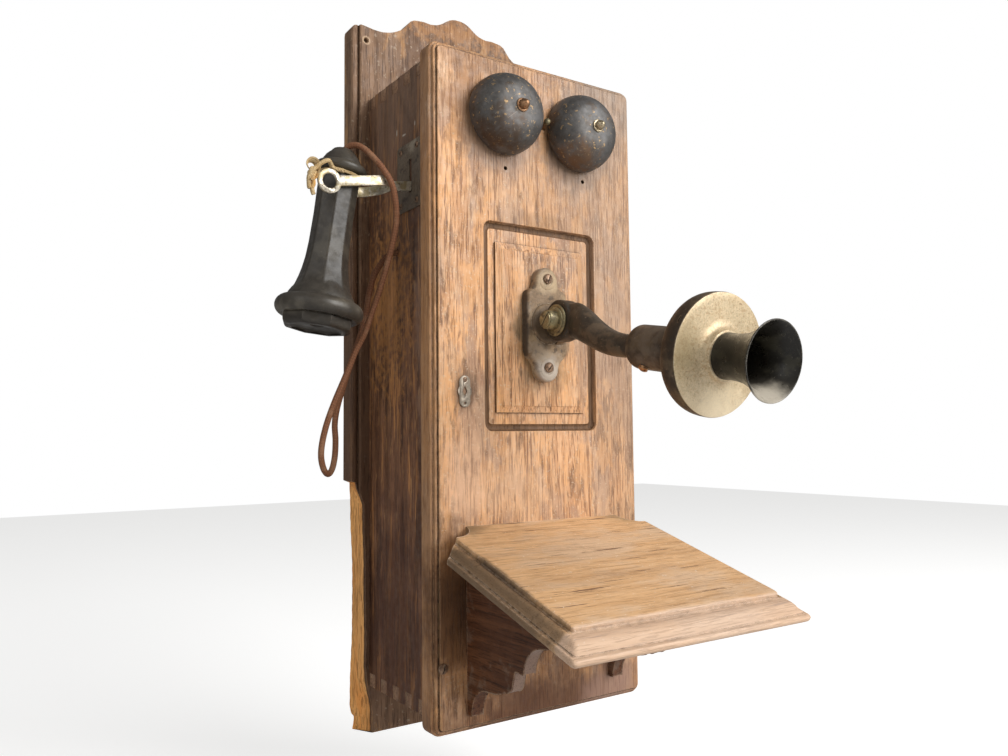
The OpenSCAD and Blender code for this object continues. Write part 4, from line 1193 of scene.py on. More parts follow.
GONG_METAL = Finish(
    "Gong plating", (0.105, 0.098, 0.092), metallic=0.6, smooth=0.46, dull=0.62, relief=0.05,
    relief_scale=260, edge=Wear((0.3, 0.26, 0.21), 0.4, 0.6), scratch=Wear(PALE_MARK, 0.2),
    layers=(Layer((0.165, 0.162, 0.162), 0.5, 45, 0.46, 0.64),
        Layer((0.075, 0.05, 0.032), 0.6, 60, 0.54, 0.66), Layer((0.46, 0.3, 0.14), 0.7, 240, 0.6, 0.65)),
    # Darker lower left of each gong: painted shade.
    spots=(Spot((-60, -190, 190), (30, 30, 24), (0.07, 0.04, 0.022), 0.8, 0.8, 1, 100),
        Spot((30, -190, 184), (26, 30, 20), (0.16, 0.085, 0.04), 0.75, 0.8, 1.2, 120)))
LEFT_NUT = Finish(
    "Copper nut", (0.42, 0.23, 0.12), metallic=0.85, smooth=0.32, dull=0.5,
    edge=Wear((0.75, 0.5, 0.32), 0.5, 0.4), layers=(Layer((0.16, 0.09, 0.05), 0.6, 300),))
RIGHT_NUT = Finish(
    "Brass nut", (0.55, 0.45, 0.3), metallic=0.85, smooth=0.28, dull=0.48,
    edge=Wear((0.85, 0.76, 0.6), 0.5, 0.4), layers=(Layer((0.22, 0.17, 0.1), 0.6, 300),))
BRACKET_IRON = Finish(
    "Dusty cast iron", (0.25, 0.165, 0.095), metallic=0.1, smooth=0.5, dull=0.72, specular=0.35, relief=0.4,
    relief_scale=420, edge=Wear((0.52, 0.42, 0.3), 0.6, 1.2), groove=Wear((0.03, 0.022, 0.015), 0.9, 8),
    layers=(Layer((0.46, 0.325, 0.19), 0.8, 28, 0.42, 0.6),
        Layer((0.08, 0.06, 0.045), 0.75, 110, 0.56, 0.63), Layer((0.36, 0.29, 0.22), 0.5, 45)),
    # Dark round the pivot lug and along the plate's left side: painted shade.
    spots=(Spot((-4, -190, 19), (23, 18, 24), (0.075, 0.048, 0.026), 0.85, 0.4, 0.4, 80),
        Spot((-23, -175, 20), (4, 7, 74), (0.04, 0.03, 0.022), 0.85, 0.4, 0.3, 80),
        Spot((0, -182, -26), (24, 10, 22), (0.46, 0.41, 0.36), 0.7, 0.7, 0.5, 80),
        Spot((0, -182, 60), (18, 10, 16), (0.56, 0.42, 0.26), 0.5, 0.6, 0.6, 90)))
PIVOT_BRASS = Finish(
    "Olive brass", (0.36, 0.3, 0.165), metallic=0.6, smooth=0.35, dull=0.58, relief=0.1,
    groove=Wear((0.03, 0.022, 0.012), 0.9, 2), edge=Wear((0.5, 0.42, 0.24), 0.6, 0.6),
    layers=(Layer((0.07, 0.055, 0.035), 0.7, 160, 0.48, 0.6),
        Layer((0.26, 0.26, 0.15), 0.5, 90, 0.55, 0.65)))
SCREW_STEEL = Finish(
    "Browned steel", (0.32, 0.2, 0.125), metallic=0.6, smooth=0.38, dull=0.6, relief=0.12,
    groove=Wear((0.02, 0.013, 0.008), 0.9, 2), edge=Wear((0.55, 0.42, 0.32), 0.6, 0.4),
    layers=(Layer((0.1, 0.05, 0.03), 0.7, 350, 0.5, 0.6), Layer((0.4, 0.3, 0.22), 0.5, 200, 0.56, 0.66)))
CLAMP_COPPER = Finish(
    "Copper screw", (0.5, 0.27, 0.13), metallic=0.8, smooth=0.32, dull=0.5,
    edge=Wear((0.8, 0.55, 0.36), 0.5, 0.3), layers=(Layer((0.2, 0.1, 0.05), 0.5, 320),))
ARM_ENAMEL = Finish(
    "Arm enamel", (0.036, 0.026, 0.017), smooth=0.34, dull=0.55, specular=0.45, relief=0.22,
    relief_scale=330, edge=Wear((0.24, 0.17, 0.11), 0.5, 1.4), dust=Wear((0.22, 0.17, 0.12), 0.2),
    layers=(Layer((0.13, 0.085, 0.05), 0.6, 42, 0.53), Layer((0.075, 0.075, 0.05), 0.5, 70, 0.57, 0.66),
        Layer((0.28, 0.2, 0.13), 0.6, 420, 0.64, 0.69)))
CUP_ENAMEL = Finish(
    "Cup enamel", (0.042, 0.024, 0.012), smooth=0.36, dull=0.6, specular=0.45, relief=0.14,
    relief_scale=300, edge=Wear((0.34, 0.24, 0.14), 0.6, 1), groove=Wear(GROOVE_DIRT_AND_SHADE, 0.8, 5),
    dust=Wear((0.2, 0.14, 0.085), 0.14), layers=(Layer((0.14, 0.095, 0.05), 0.6, 50),
        Layer((0.025, 0.02, 0.016), 0.6, 90, 0.54, 0.64), Layer((0.32, 0.23, 0.14), 0.6, 420, 0.64, 0.69)),
    spots=(Spot((0, -330, -14), (30, 32, 30), (0.15, 0.115, 0.085), 0.7, 0.6, 0.7, 120),))
PLATE_NICKEL = Finish(
    "Speckled faceplate", (0.62, 0.485, 0.3), metallic=0.35, smooth=0.32, dull=0.5, relief=0.05,
    relief_scale=700, edge=Wear((0.9, 0.82, 0.64), 0.5, 0.7), scratch=Wear(PALE_MARK, 0.2),
    groove=Wear((0.1, 0.07, 0.04), 0.7, 3), layers=(Layer((0.52, 0.39, 0.225), 0.5, 40, 0.5, 0.64),
        Layer((0.4, 0.27, 0.14), 0.75, 420, 0.53, 0.6), Layer((0.17, 0.1, 0.05), 0.8, 760, 0.6, 0.65)),
    # Darker left part: painted shadow of the mouthpiece. Pale lower part: painted reflection.
    spots=(Spot((-40, -390, -20), (20, 30, 34), (0.32, 0.235, 0.115), 0.55, 0.8, 0.4, 90),
        Spot((0, -390, -66), (60, 30, 30), (0.86, 0.72, 0.5), 0.7, 0.9, 0.4, 90)))
MOUTH_RUBBER = Finish(
    "Moulded mouthpiece", (0.012, 0.01, 0.007), smooth=0.24, dull=0.42, specular=0.35, relief=0.04,
    edge=Wear((0.34, 0.31, 0.26), 0.8, 0.8), dust=Wear((0.2, 0.18, 0.145), 0.12),
    scratch=Wear((0.12, 0.11, 0.095), 0.2), layers=(Layer((0.045, 0.04, 0.026), 0.6, 60, 0.5, 0.64),
        Layer((0.16, 0.14, 0.11), 0.5, 380, 0.64, 0.69)),
    # Pale inside the lower flare: painted light from above.
    spots=(Spot((0, -432, -56), (26, 18, 18), (0.46, 0.41, 0.33), 0.9, 0.7, 0.4, 90),))
RECEIVER_RUBBER = Finish(
    "Moulded receiver", (0.044, 0.037, 0.029), smooth=0.28, dull=0.52, specular=0.36, relief=0.05,
    relief_scale=240, edge=Wear((0.2, 0.175, 0.145), 0.55, 1.1), scratch=Wear((0.15, 0.13, 0.11), 0.2),
    dust=Wear((0.16, 0.14, 0.115), 0.16), groove=Wear((0.008, 0.006, 0.005), 0.7, 4),
    layers=(Layer((0.078, 0.066, 0.048), 0.6, 35, 0.48, 0.64),
        Layer((0.03, 0.024, 0.018), 0.5, 80, 0.56, 0.66), Layer((0.16, 0.14, 0.11), 0.45, 420, 0.65, 0.7)),
    # Paler round the flange: painted highlight.
    spots=(Spot((-199, -114, 29), (46, 46, 11), (0.15, 0.13, 0.1), 0.7, 0.4, 0.5),))
HOOK_NICKEL = Finish(
    "Worn nickel", (0.78, 0.7, 0.56), metallic=0.6, smooth=0.26, dull=0.46, relief=0.08,
    edge=Wear((0.88, 0.82, 0.68), 0.5, 0.5), groove=Wear((0.08, 0.055, 0.03), 0.6, 3),
    layers=(Layer((0.46, 0.36, 0.18), 0.8, 110, 0.48, 0.58),
        Layer((0.13, 0.09, 0.05), 0.75, 240, 0.57, 0.64)))
HOOK_PLATE = Finish(
    "Dark hook plate", (0.2, 0.15, 0.105), metallic=0.35, smooth=0.4, dull=0.62, relief=0.08,
    edge=Wear((0.4, 0.31, 0.22), 0.6, 0.5), scratch=Wear(PALE_MARK, 0.3),
    layers=(Layer((0.2, 0.15, 0.11), 0.6, 60), Layer((0.04, 0.026, 0.02), 0.6, 130, 0.55, 0.63)),
    spots=(Spot((-109, -118, 190), (4, 14, 10), (0.55, 0.47, 0.36), 0.5, 0.9, 1.3, 160),))
LOCK_SILVER = Finish(
    "Worn silver", (0.38, 0.32, 0.25), metallic=0.6, smooth=0.3, dull=0.5, relief=0.06,
    edge=Wear((0.86, 0.82, 0.75), 0.4, 0.5), layers=(Layer((0.3, 0.23, 0.17), 0.6, 200, 0.52),))
INNER_IRON = Finish(
    "Dark iron", (0.15, 0.15, 0.16), metallic=0.6, smooth=0.4, dull=0.6, relief=0.15,
    edge=Wear((0.4, 0.38, 0.36), 0.4, 0.9), layers=(Layer((0.22, 0.13, 0.08), 0.4, 90, 0.56, 0.64),),
    dust=Wear(PALE_DUST, 0.2))
MAGNET_RED = Finish(
    "Magnet paint", (0.34, 0.085, 0.055), smooth=0.35, dull=0.55, relief=0.1,
    edge=Wear((0.42, 0.38, 0.34), 0.7, 0.9), layers=(Layer((0.2, 0.05, 0.035), 0.5, 60),),
    dust=Wear(PALE_DUST, 0.25))
GEAR_BRASS = Wound(
    "Turned brass", (0.62, 0.47, 0.22), metallic=0.85, smooth=0.3, dull=0.45, relief=0.02, spacing=0.35,
    depth=0.12, run=Run.ACROSS, layers=(Layer((0.32, 0.22, 0.09), 0.5, 120, 0.52, 0.64),),
    edge=Wear((0.85, 0.7, 0.4), 0.4, 0.9))
SHAFT_STEEL = Wound(
    "Turned steel", (0.46, 0.44, 0.41), metallic=0.8, smooth=0.28, dull=0.45, relief=0.02, spacing=0.4,
    depth=0.12, run=Run.ACROSS, layers=(Layer((0.22, 0.16, 0.11), 0.5, 150, 0.55, 0.65),),
    edge=Wear((0.75, 0.72, 0.66), 0.4, 0.9))
KNOB_BLACK = Finish(
    "Turned black knob", (0.035, 0.03, 0.026), smooth=0.3, dull=0.5, relief=0.06, coat=0.2,
    edge=Wear((0.22, 0.15, 0.09), 0.6, 0.9), scratch=Wear(PALE_MARK, 0.2),
    layers=(Layer((0.09, 0.055, 0.03), 0.5, 70, 0.53, 0.64),))
COIL_WRAP = Wound(
    "Coil covering", (0.36, 0.12, 0.08), smooth=0.5, dull=0.7, relief=0.12, spacing=0.9, depth=0.45,
    layers=(Layer((0.18, 0.06, 0.04), 0.5, 60),))
LYING_COIL = replace(COIL_WRAP, name="Lying coil covering", run=Run.ACROSS)
CONTACT_BRASS = Finish(
    "Contact springs", (0.58, 0.42, 0.22), metallic=0.85, smooth=0.28, dull=0.42, relief=0.03,
    layers=(Layer((0.3, 0.19, 0.09), 0.5, 150),), edge=Wear((0.85, 0.7, 0.45), 0.4, 0.3))
CELL_CASE = Finish(
    "Card case", (0.44, 0.37, 0.27), smooth=0.6, dull=0.8, relief=0.1, relief_scale=900,
    layers=(Layer((0.28, 0.2, 0.12), 0.6, 30), Layer((0.55, 0.48, 0.38), 0.4, 90)),
    edge=Wear((0.58, 0.5, 0.4), 0.5, 0.9), dust=Wear(PALE_DUST, 0.3))
BLOCK_BLACK = Finish(
    "Terminal block", (0.13, 0.07, 0.04), smooth=0.4, dull=0.6, relief=0.1,
    edge=Wear((0.4, 0.3, 0.16), 0.6, 0.9), layers=(Layer((0.07, 0.035, 0.02), 0.5, 60),),
    dust=Wear(PALE_DUST, 0.2))
WIRE_COVER = Wound(
    "Wire covering", (0.42, 0.14, 0.1), smooth=0.6, dull=0.8, relief=0.12, spacing=0.9, depth=0.4,
    layers=(Layer((0.2, 0.07, 0.05), 0.5, 120),))
CORD_BRAID = Braided(
    "Cord braid", (0.27, 0.115, 0.055), second=(0.16, 0.066, 0.034), smooth=0.6, dull=0.8, specular=0.25,
    relief=0.25, round_count=5, along_count=1.1, layers=(Layer((0.33, 0.19, 0.11), 0.4, 60, 0.5, 0.65),))
STRING_YARN = Braided(
    "String yarn", (0.66, 0.5, 0.28), second=(0.48, 0.32, 0.15), smooth=0.7, dull=0.85, specular=0.2,
    relief=0.12, round_count=3, along_count=0.6, layers=(Layer((0.36, 0.22, 0.08), 0.55, 120),),
    spots=(Spot((-212, -140, 134), (6, 9, 9), (0.72, 0.36, 0.08), 0.7, 0.7, 0.5, 200),))
CARBON_DARK = Finish(
    "Carbon case", (0.09, 0.088, 0.085), smooth=0.4, dull=0.6, layers=(Layer((0.2, 0.19, 0.18), 0.4, 150),),
    edge=Wear((0.35, 0.32, 0.28), 0.5, 0.9))
DISC_METAL = Finish(
    "Thin disc", (0.48, 0.47, 0.44), metallic=0.8, smooth=0.3, dull=0.45, relief=0.02,
    layers=(Layer((0.26, 0.2, 0.15), 0.4, 140),), scratch=Wear(PALE_MARK, 0.2))


# Studio
@dataclass
class Studio:
    """Camera, lights, pale floor and background."""

    focal: float = 856.34
    picture_width: float = 1008.0
    yaw: float = 33.83
    pitch: float = 3.78
    roll: float = -0.56
    eye: Point = (-0.47856, -0.82042, -0.08205)
    near: float = 0.01
    floor_z: float = -0.46
    floor_colour: Colour = (0.86, 0.86, 0.855)
    floor_lift: float = 0.62
    soft_light: float = 0.19
    lamps: tuple[tuple[str, Point, Point, float, float], ...] = (
        ("Key", (1.0, -2.2, 1.05), (0.0, -0.1, 0.0), 2.0, 84.0),
        ("Fill", (-2.1, -1.0, 1.0), (-0.1, -0.1, 0.0), 1.9, 13.0))

    def place_camera(self) -> None:
        """Sets the camera at the photograph's angle."""
        yaw, pitch, roll = (math.radians(v) for v in (self.yaw, self.pitch, self.roll))
        ahead = Vector((math.sin(yaw) * math.cos(pitch), math.cos(yaw) * math.cos(pitch), math.sin(pitch)))
        right = Vector((math.cos(yaw), -math.sin(yaw), 0.0))
        up = right.cross(ahead)
        across = right * math.cos(roll) + up * math.sin(roll)
        over = up * math.cos(roll) - right * math.sin(roll)
        lens = bpy.data.cameras.new("Camera")
        lens.sensor_fit = "HORIZONTAL"
        lens.sensor_width = SENSOR_WIDTH
        lens.lens = self.focal / self.picture_width * SENSOR_WIDTH
        lens.clip_start = self.near
        made = bpy.data.objects.new("Camera", lens)
        made.matrix_world = moved(*self.eye) @ Matrix((across, over, -ahead)).transposed().to_4x4()
        bpy.context.scene.collection.objects.link(made)
        bpy.context.scene.camera = made

    def add_lamp(self, name: str, place: Point, target: Point, size: float, power: float) -> None:
        """Adds a large soft lamp.

        Args:
            name: its name.
            place: where it stands, in metres.
            target: what it faces.
            size: its side in metres.
            power: its power in watts.
        """
        lamp = bpy.data.lights.new(name, "AREA")
        lamp.size = size
        lamp.energy = power
        made = bpy.data.objects.new(name, lamp)
        made.location = place
        made.rotation_euler = (Vector(target) - Vector(place)).to_track_quat("-Z", "Y").to_euler()
        bpy.context.scene.collection.objects.link(made)

    def light(self) -> None:
        """Adds the lamps and the world."""
        for lamp in self.lamps:
            self.add_lamp(*lamp)
        world = bpy.data.worlds.new("Pale")
        bpy.context.scene.world = world
        world.use_nodes = True
        world.node_tree.nodes.clear()
        tree = Tree(world.node_tree)
        rays = tree.node("LightPath")
        seen = tree.math("MAXIMUM", rays.outputs["Is Camera Ray"], rays.outputs["Is Transmission Ray"])
        soft = tree.node("Background", {"Color": (1.0, 0.985, 0.965), "Strength": self.soft_light})
        pale = tree.node("Background", {"Color": (1.0, 1.0, 1.0), "Strength": 1.0})
        both = tree.node("MixShader", {0: seen, 1: soft.outputs[0], 2: pale.outputs[0]})
        sink = tree.node("OutputWorld")
        world.node_tree.links.new(both.outputs[0], sink.inputs["Surface"])

    def lay_floor(self) -> None:
        """Lays the pale floor below the telephone."""
        rings = [[(x, y, z) for x, y in ((-4000, -5000), (4000, -5000), (4000, 4000), (-4000, 4000))]
                 for z in (0, -20)]
        pale = Finish("Pale floor", self.floor_colour, smooth=0.85, dull=0.95, specular=0.1, relief=0.02)
        made = Form().skin(rings, moved(0, 0, self.floor_z / MM)).piece("floor", pale)
        tree = Tree(pale.material().node_tree)
        shader = next(n for n in tree.tree.nodes if n.bl_idname == "ShaderNodeBsdfPrincipled")
        shader.inputs["Emission Color"].default_value = (1.0, 1.0, 0.995, 1.0)
        lift = tree.times(tree.node("LightPath").outputs["Is Camera Ray"], self.floor_lift)
        tree.feed(shader.inputs["Emission Strength"], lift)


# The receiver's cord
@dataclass
class ReceiverCord:
    """Limp braided cord from the tail cap, in a loop beside the box, back up into the side."""

    diameter: float = 5.6
    length: float = 603.0
    route: tuple[Point, ...] = (
        (-178, -114, 164), (-177.5, -114, 167.2), (-176.6, -114.8, 172.4), (-174.2, -117.6, 176.5),
        (-170.8, -121.4, 178), (-166.6, -125.6, 176.9), (-161.6, -130, 172.4), (-154.6, -136.9, 162.1),
        (-147.8, -140.9, 151.6), (-141.7, -140.9, 142), (-138, -139.1, 132.2), (-135.2, -136.6, 121.2),
        (-133.9, -133.3, 109.8), (-134, -129.3, 98.4), (-134.8, -125, 86.8), (-136.2, -120, 74.2),
        (-137.9, -115.2, 62), (-140.6, -108.4, 45), (-144.4, -104, 30), (-149.4, -100, 12),
        (-157, -97, -5), (-165.5, -94, -28), (-174.5, -92, -50), (-182, -91.6, -70), (-186.4, -91.2, -88),
        (-186.8, -90, -101), (-182.8, -86.3, -111.7), (-176, -79.6, -116.4), (-169.4, -73, -112.3),
        (-165.2, -69.2, -101), (-164, -68, -86), (-165.2, -69, -70.5), (-163.5, -71.5, -54),
        (-158.5, -75, -33.5), (-152.5, -77, -13), (-146.5, -78.5, 5), (-139.5, -80, 30), (-136.5, -82, 52),
        (-131.5, -83.5, 71), (-121.6, -84.4, 86.2), (-113.4, -84.5, 93), (-105, -84.5, 94.5),
        (-96, -84.5, 94.5))

    def build(self) -> None:
        path = smooth_run(self.route, 6)
        made = Form().tube(path, [(self.diameter / 2, self.diameter / 2)] * len(path), 14)
        cord = made.piece("receiver_cord_braid", CORD_BRAID, sharp=60)
        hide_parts("receiver_cord")
        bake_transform(cord)
        LOG.info("receiver_cord_braid hangs between cabinet and receiver")


# Wooden box
@dataclass
class Backboard:
    """Board on the wall, with its sawn crest, moulded side edges and the split lower left edge."""

    half_w: float = 127.0
    front: float = -22.0
    bottom: float = -376.0
    hole_x: float = 112.0
    hole_z: float = 329.6
    hole_d: float = 5.0
    split_top: float = -127.0
    sharp: float = 24.0
    waves: tuple[Point, ...] = ((0.5, 0.021, 0.6), (0.3, 0.083, 0), (0.14, 0.47, 0))
    rows_at_split: tuple[float, ...] = (-130.2, -129.4, -128.6, -128.0, -127.4, -126.8, -122.0)
    front_split: tuple[Flat, ...] = ((-127.4, -127), (-128.6, -121.6), (-134, -120.6), (-151, -113.6),
                                     (-240, -112.6), (-310, -112.0), (-330, -110.0), (-342, -107.4),
                                     (-352, -105.4), (-376, -104.6))
    rear_split: tuple[Flat, ...] = ((-126.8, -127), (-129.4, -120.4), (-150, -119.2), (-240, -117.2),
                                    (-352, -119.6), (-360, -118.4), (-364, -114.6), (-376, -116.4))
    border: tuple[Flat, ...] = ((0.0, -16.8), (0.5, -17.9), (1.5, -18.8), (3.2, -19.3), (5.2, -19.2),
                                (6.6, -18.6), (7.4, -17.7), (7.9, -17.6), (8.2, -20.6), (8.7, -21.6),
                                (9.6, -22.0))
    crest: tuple[Flat, ...] = ((0, 380), (4, 379.9), (7, 379.4), (10, 378.4), (13, 377), (17, 374.2),
                               (22, 370.5), (26, 368.5), (30, 367.3), (36, 366.5), (44, 367.2), (50, 366.6),
                               (54, 366.2), (58, 365.3), (61.2, 362.6), (67, 354.5), (73, 350), (82, 345.4),
                               (91, 343.2), (97, 342.8), (103, 343), (111, 344.2), (115, 344.8),
                               (119, 345), (122.9, 344.7), (125.2, 343.4), (126.5, 341.2), (127, 338))

    def crest_z(self, x: float) -> float:
        """Returns the crest's height at a place across."""
        return reading([(-far, z) for far, z in self.crest], -min(abs(x), self.half_w))

    def split_x(self, z: float, back: bool) -> float:
        """Left limit of the board where its edge is split away.

        Args:
            z: height.
            back: whether it is for the rear face.

        Returns:
            The limit's place across.
        """
        wave = sum(size * math.sin(z * rate + start) for size, rate, start in self.waves)
        line = self.rear_split if back else self.front_split
        if z >= line[0][0]:
            return -self.half_w
        for (za, xa), (zb, xb) in zip(line, line[1:]):
            if z >= zb:
                return xa + (xb - xa) * (za - z) / (za - zb) + wave * (0.4 if xa < -121 else 1.0)
        return line[-1][1]

    def build(self) -> None:
        """Makes the board and the raw split face."""
        edge = [(-self.half_w + u, d) for u, d in self.border]
        inner = [(float(x), self.front) for x in range(-116, 117, 4)]
        columns = edge + inner + [(-x, d) for x, d in reversed(edge)]
        low = [self.bottom, self.bottom + 0.8] + [self.bottom + 2.5 * i for i in range(1, 98)]
        rows = low + list(self.rows_at_split) + list(range(-110, 330, 40)) + [None]
        form = Form()
        grids: list[list[list[bmesh.types.BMVert]]] = []
        for back in (False, True):
            grids.append([])
            for z in rows:
                line = []
                for x, depth in columns:
                    height = self.crest_z(x) if z is None else z
                    across = max(x, self.split_x(height, back))
                    line.append(form.mesh.verts.new((across, 0.0 if back else depth, height)))
                grids[-1].append(line)
        near, far = grids
        strips = [*zip(near, near[1:]), *zip(far, far[1:]), (near[0], far[0]), (near[-1], far[-1])]
        for a, b in strips:
            for k in range(len(columns) - 1):
                form.mesh.faces.new((a[k], a[k + 1], b[k + 1], b[k]))
        for j in range(len(rows) - 1):
            form.mesh.faces.new((near[j][-1], near[j + 1][-1], far[j + 1][-1], far[j][-1]))
            face = form.mesh.faces.new((near[j][0], near[j + 1][0], far[j + 1][0], far[j][0]))
            if rows[j] < self.split_top - 1:
                face.material_index = 1
        made = form.piece("backboard_oak", BOARD_OAK, self.sharp)
        made.data.materials.append(SPLIT_OAK.material())
        r = self.hole_d / 2
        holes = [Form().lathe(((r, -2), (r, 21), (r + 1.2, 23)),
                              moved(x, 0, self.hole_z) @ turned(90, "X"), 32, caps=True)
                 for x in (-self.hole_x, self.hole_x)]
        cut(made, holes, BOARD_OAK, self.sharp)
        stand(made, "cabinet", "oak_backboard", "backboard")


@dataclass
class Box:
    """The finger-jointed box, its hinges and what is screwed inside it."""

    rounding: float = 0.7

    def build(self) -> None:
        """Dresses the box's boards and the fixed things inside."""
        dress(SIDE_OAK, "side_left", "side_right", rounding=self.rounding)
        dress(END_OAK, "top_board", "bottom_board", rounding=self.rounding)
        dress(INNER_OAK, "generator_shelf", rounding=self.rounding)
        dress(PIVOT_BRASS, "hinge_box_leaves", "hinge_door_leaves")
        dress(SHAFT_STEEL, "hinge_pins")
        dress(CELL_CASE, "dry_cells", rounding=0.8)
        dress(LYING_COIL, "induction_coil")
        dress(BLOCK_BLACK, "terminal_block", rounding=0.5)
        dress(WIRE_COVER, "wiring")


@dataclass
class Door:
    """Overhanging door with a moulded edge, a routed frame and a raised panel."""

    half_w: float = 118.0
    bottom: float = -339.0
    top: float = 272.0
    front: float = -172.0
    corner: float = 9.0
    edge: tuple[Flat, ...] = ((0.3, 22.0), (0.0, 21.6), (0.0, 7.4), (0.25, 6.5), (0.9, 5.9), (1.8, 5.6),
                              (2.5, 5.55), (2.75, 5.3), (2.8, 3.6), (3.0, 2.9), (3.5, 2.4), (4.3, 2.15),
                              (5.0, 2.3), (5.4, 2.75), (5.75, 2.7), (5.85, 0.7), (6.1, 0.25), (6.8, 0.03),
                              (7.6, 0.0))
    cove: tuple[Flat, ...] = ((-0.7, 0.0), (-0.2, 0.12), (0.05, 0.6), (0.25, 2.6), (0.9, 4.0), (2.0, 5.0),
                              (3.3, 5.3), (4.6, 5.2), (5.6, 4.7), (6.2, 4.3), (6.5, 4.05), (7.0, 4.0))
    sharp: float = 22.0
    rear: float = -148.0
    holes: tuple[Flat, ...] = ((-40, 165.5), (52, 166.9))
    clapper_slot: tuple[float, ...] = (-7, 7, 210, 218, 1.5)
    shaded_step: Flat = (2.1, 3.98)
    shaded_from: float = 4.1
    frame_corner: float = 8.0
    panel_corner: float = 0.4
    frame_half_w: float = 64.6
    frame_bottom: float = -79.0
    frame_top: float = 113.9
    panel_half_w: float = 51.0
    panel_bottom: float = -62.0
    panel_top: float = 95.3
    bevel: tuple[Flat, ...] = ((-0.5, 4.0), (-0.1, 4.0), (0.0, 3.5), (0.15, 2.2), (3.0, 1.4), (5.7, 0.6),
                               (6.1, 0.25), (6.6, 0.0))

    def build(self) -> None:
        """Makes the door and dresses its lock and screw."""
        rings = []
        for table, half, low, high, corner, narrowing in (
                (self.edge, self.half_w, self.bottom, self.top, self.corner, 0.9),
                (self.cove, self.frame_half_w, self.frame_bottom, self.frame_top, self.frame_corner, 0.75),
                (self.bevel, self.panel_half_w, self.panel_bottom, self.panel_top, self.panel_corner, 0.0)):
            for u, d in table:
                outline = rounded_box(-half + u, half - u, low + u, high - u, corner - u * narrowing)
                rings.append([(x, self.front + d, z) for x, z in outline])
        form = Form().skin(rings)
        # Deep faces of the frame groove, and the steps on the panel's left and lower sides, take the darker
        # oak as painted shade.
        for face in form.mesh.faces:
            x, y, z = face.calc_center_median()
            depth, near = y - self.front, 0.1
            if abs(x) < self.frame_half_w + near and self.frame_bottom - near < z < self.frame_top + near:
                beside = x < near - self.panel_half_w or z < self.panel_bottom + near
                start, end = self.shaded_step
                face.material_index = int(depth > self.shaded_from or (beside and start < depth < end))
        made = form.piece("door_oak", DOOR_OAK, self.sharp)
        made.data.materials.append(SHADED_FRAME_OAK.material())
        tools = [Form().lathe(((1.7, 0), (1.7, 23.2), (2.4, 25)),
                              moved(x, self.rear, z) @ turned(90, "X"), 24, caps=True)
                 for x, z in self.holes]
        slot = rounded_box(*self.clapper_slot)
        tools.append(Form().skin([[(x, y, z) for x, z in slot] for y in (-175, self.rear)]))
        cut(made, tools, DOOR_OAK, self.sharp)
        stand(made, "door", "oak_door", "door_panel")
        dress(SCREW_STEEL, "door_screw", "escutcheon_screw")
        dress(LOCK_SILVER, "lock_escutcheon", rounding=0.35)
        dress(GEAR_BRASS, "lock_case", "lock_bolt", rounding=0.3)


# Ringer
@dataclass
class Ringer:
    """Two gongs with their nuts, the clapper and the works behind the door."""

    gongs: tuple[tuple[str, float, float, Finish, int], ...] = (
        ("left", -45.0, 213.0, LEFT_NUT, 64), ("right", 43.0, 211.0, RIGHT_NUT, 8))
    mouth_y: float = -176.5
    diameter: float = 74.0
    height: float = 31.0
    wall: float = 2.0
    nut_turn: float = 0.3
    bowl: tuple[Flat, ...] = ((1, 0), (1, 0.12), (0.985, 0.3), (0.93, 0.5), (0.84, 0.68), (0.71, 0.83),
                              (0.52, 0.94), (0.24, 0.995), (0.07, 1))
    washer: tuple[Flat, ...] = ((2.3, 0.05), (6.0, 0.05), (6.25, 0.35), (6.25, 0.9), (5.9, 1.25),
                                (4.9, 1.5), (4.4, 1.55))
    acorn: tuple[Flat, ...] = ((4.6, 1.5), (4.75, 2.0), (4.75, 3.9), (4.5, 4.5), (4.1, 5.4), (3.4, 6.8),
                               (2.4, 8.0), (1.2, 8.75), (0.0, 9.0))

    def profile(self) -> list[Flat]:
        """Draws a gong's wall as a closed outline.

        Returns:
            Radius and height of each point.
        """
        r, h, w = self.diameter / 2, self.height, self.wall
        outer, inner = (smooth_profile([((r - less) * a, (h - less) * b) for a, b in self.bowl], steps)
                        for less, steps in ((0.0, 5), (w, 3)))
        return inner[::-1] + [(r - 0.5 * w, -0.35), (r - 0.15 * w, -0.15)] + outer

    def build(self) -> None:
        """Makes the gongs and nuts and dresses the works."""
        for name, x, z, finish, sides in self.gongs:
            gong = Form().lathe(self.profile(), moved(x, self.mouth_y, z) @ turned(90, "X"), 128, closed=True)
            stand(gong.piece("gong_shell_" + name, GONG_METAL, sharp=50), "door", "gong_metal",
                  "gong_" + name)
            seat = moved(x, self.mouth_y - self.height, z) @ turned(90, "X")
            twisted = seat @ Matrix.Rotation(self.nut_turn, 4, "Z")
            nut = Form().lathe(self.washer, seat, 48).lathe(self.acorn, twisted, sides)
            stand(nut.piece("gong_nut_" + name, finish, sharp=40), "door", "nut_metal", "gong_nuts")
        dress(SHAFT_STEEL, "gong_posts")
        dress(PIVOT_BRASS, "clapper")
        dress(INNER_IRON, "ringer_frame", rounding=0.4)
        dress(COIL_WRAP, "ringer_coils")


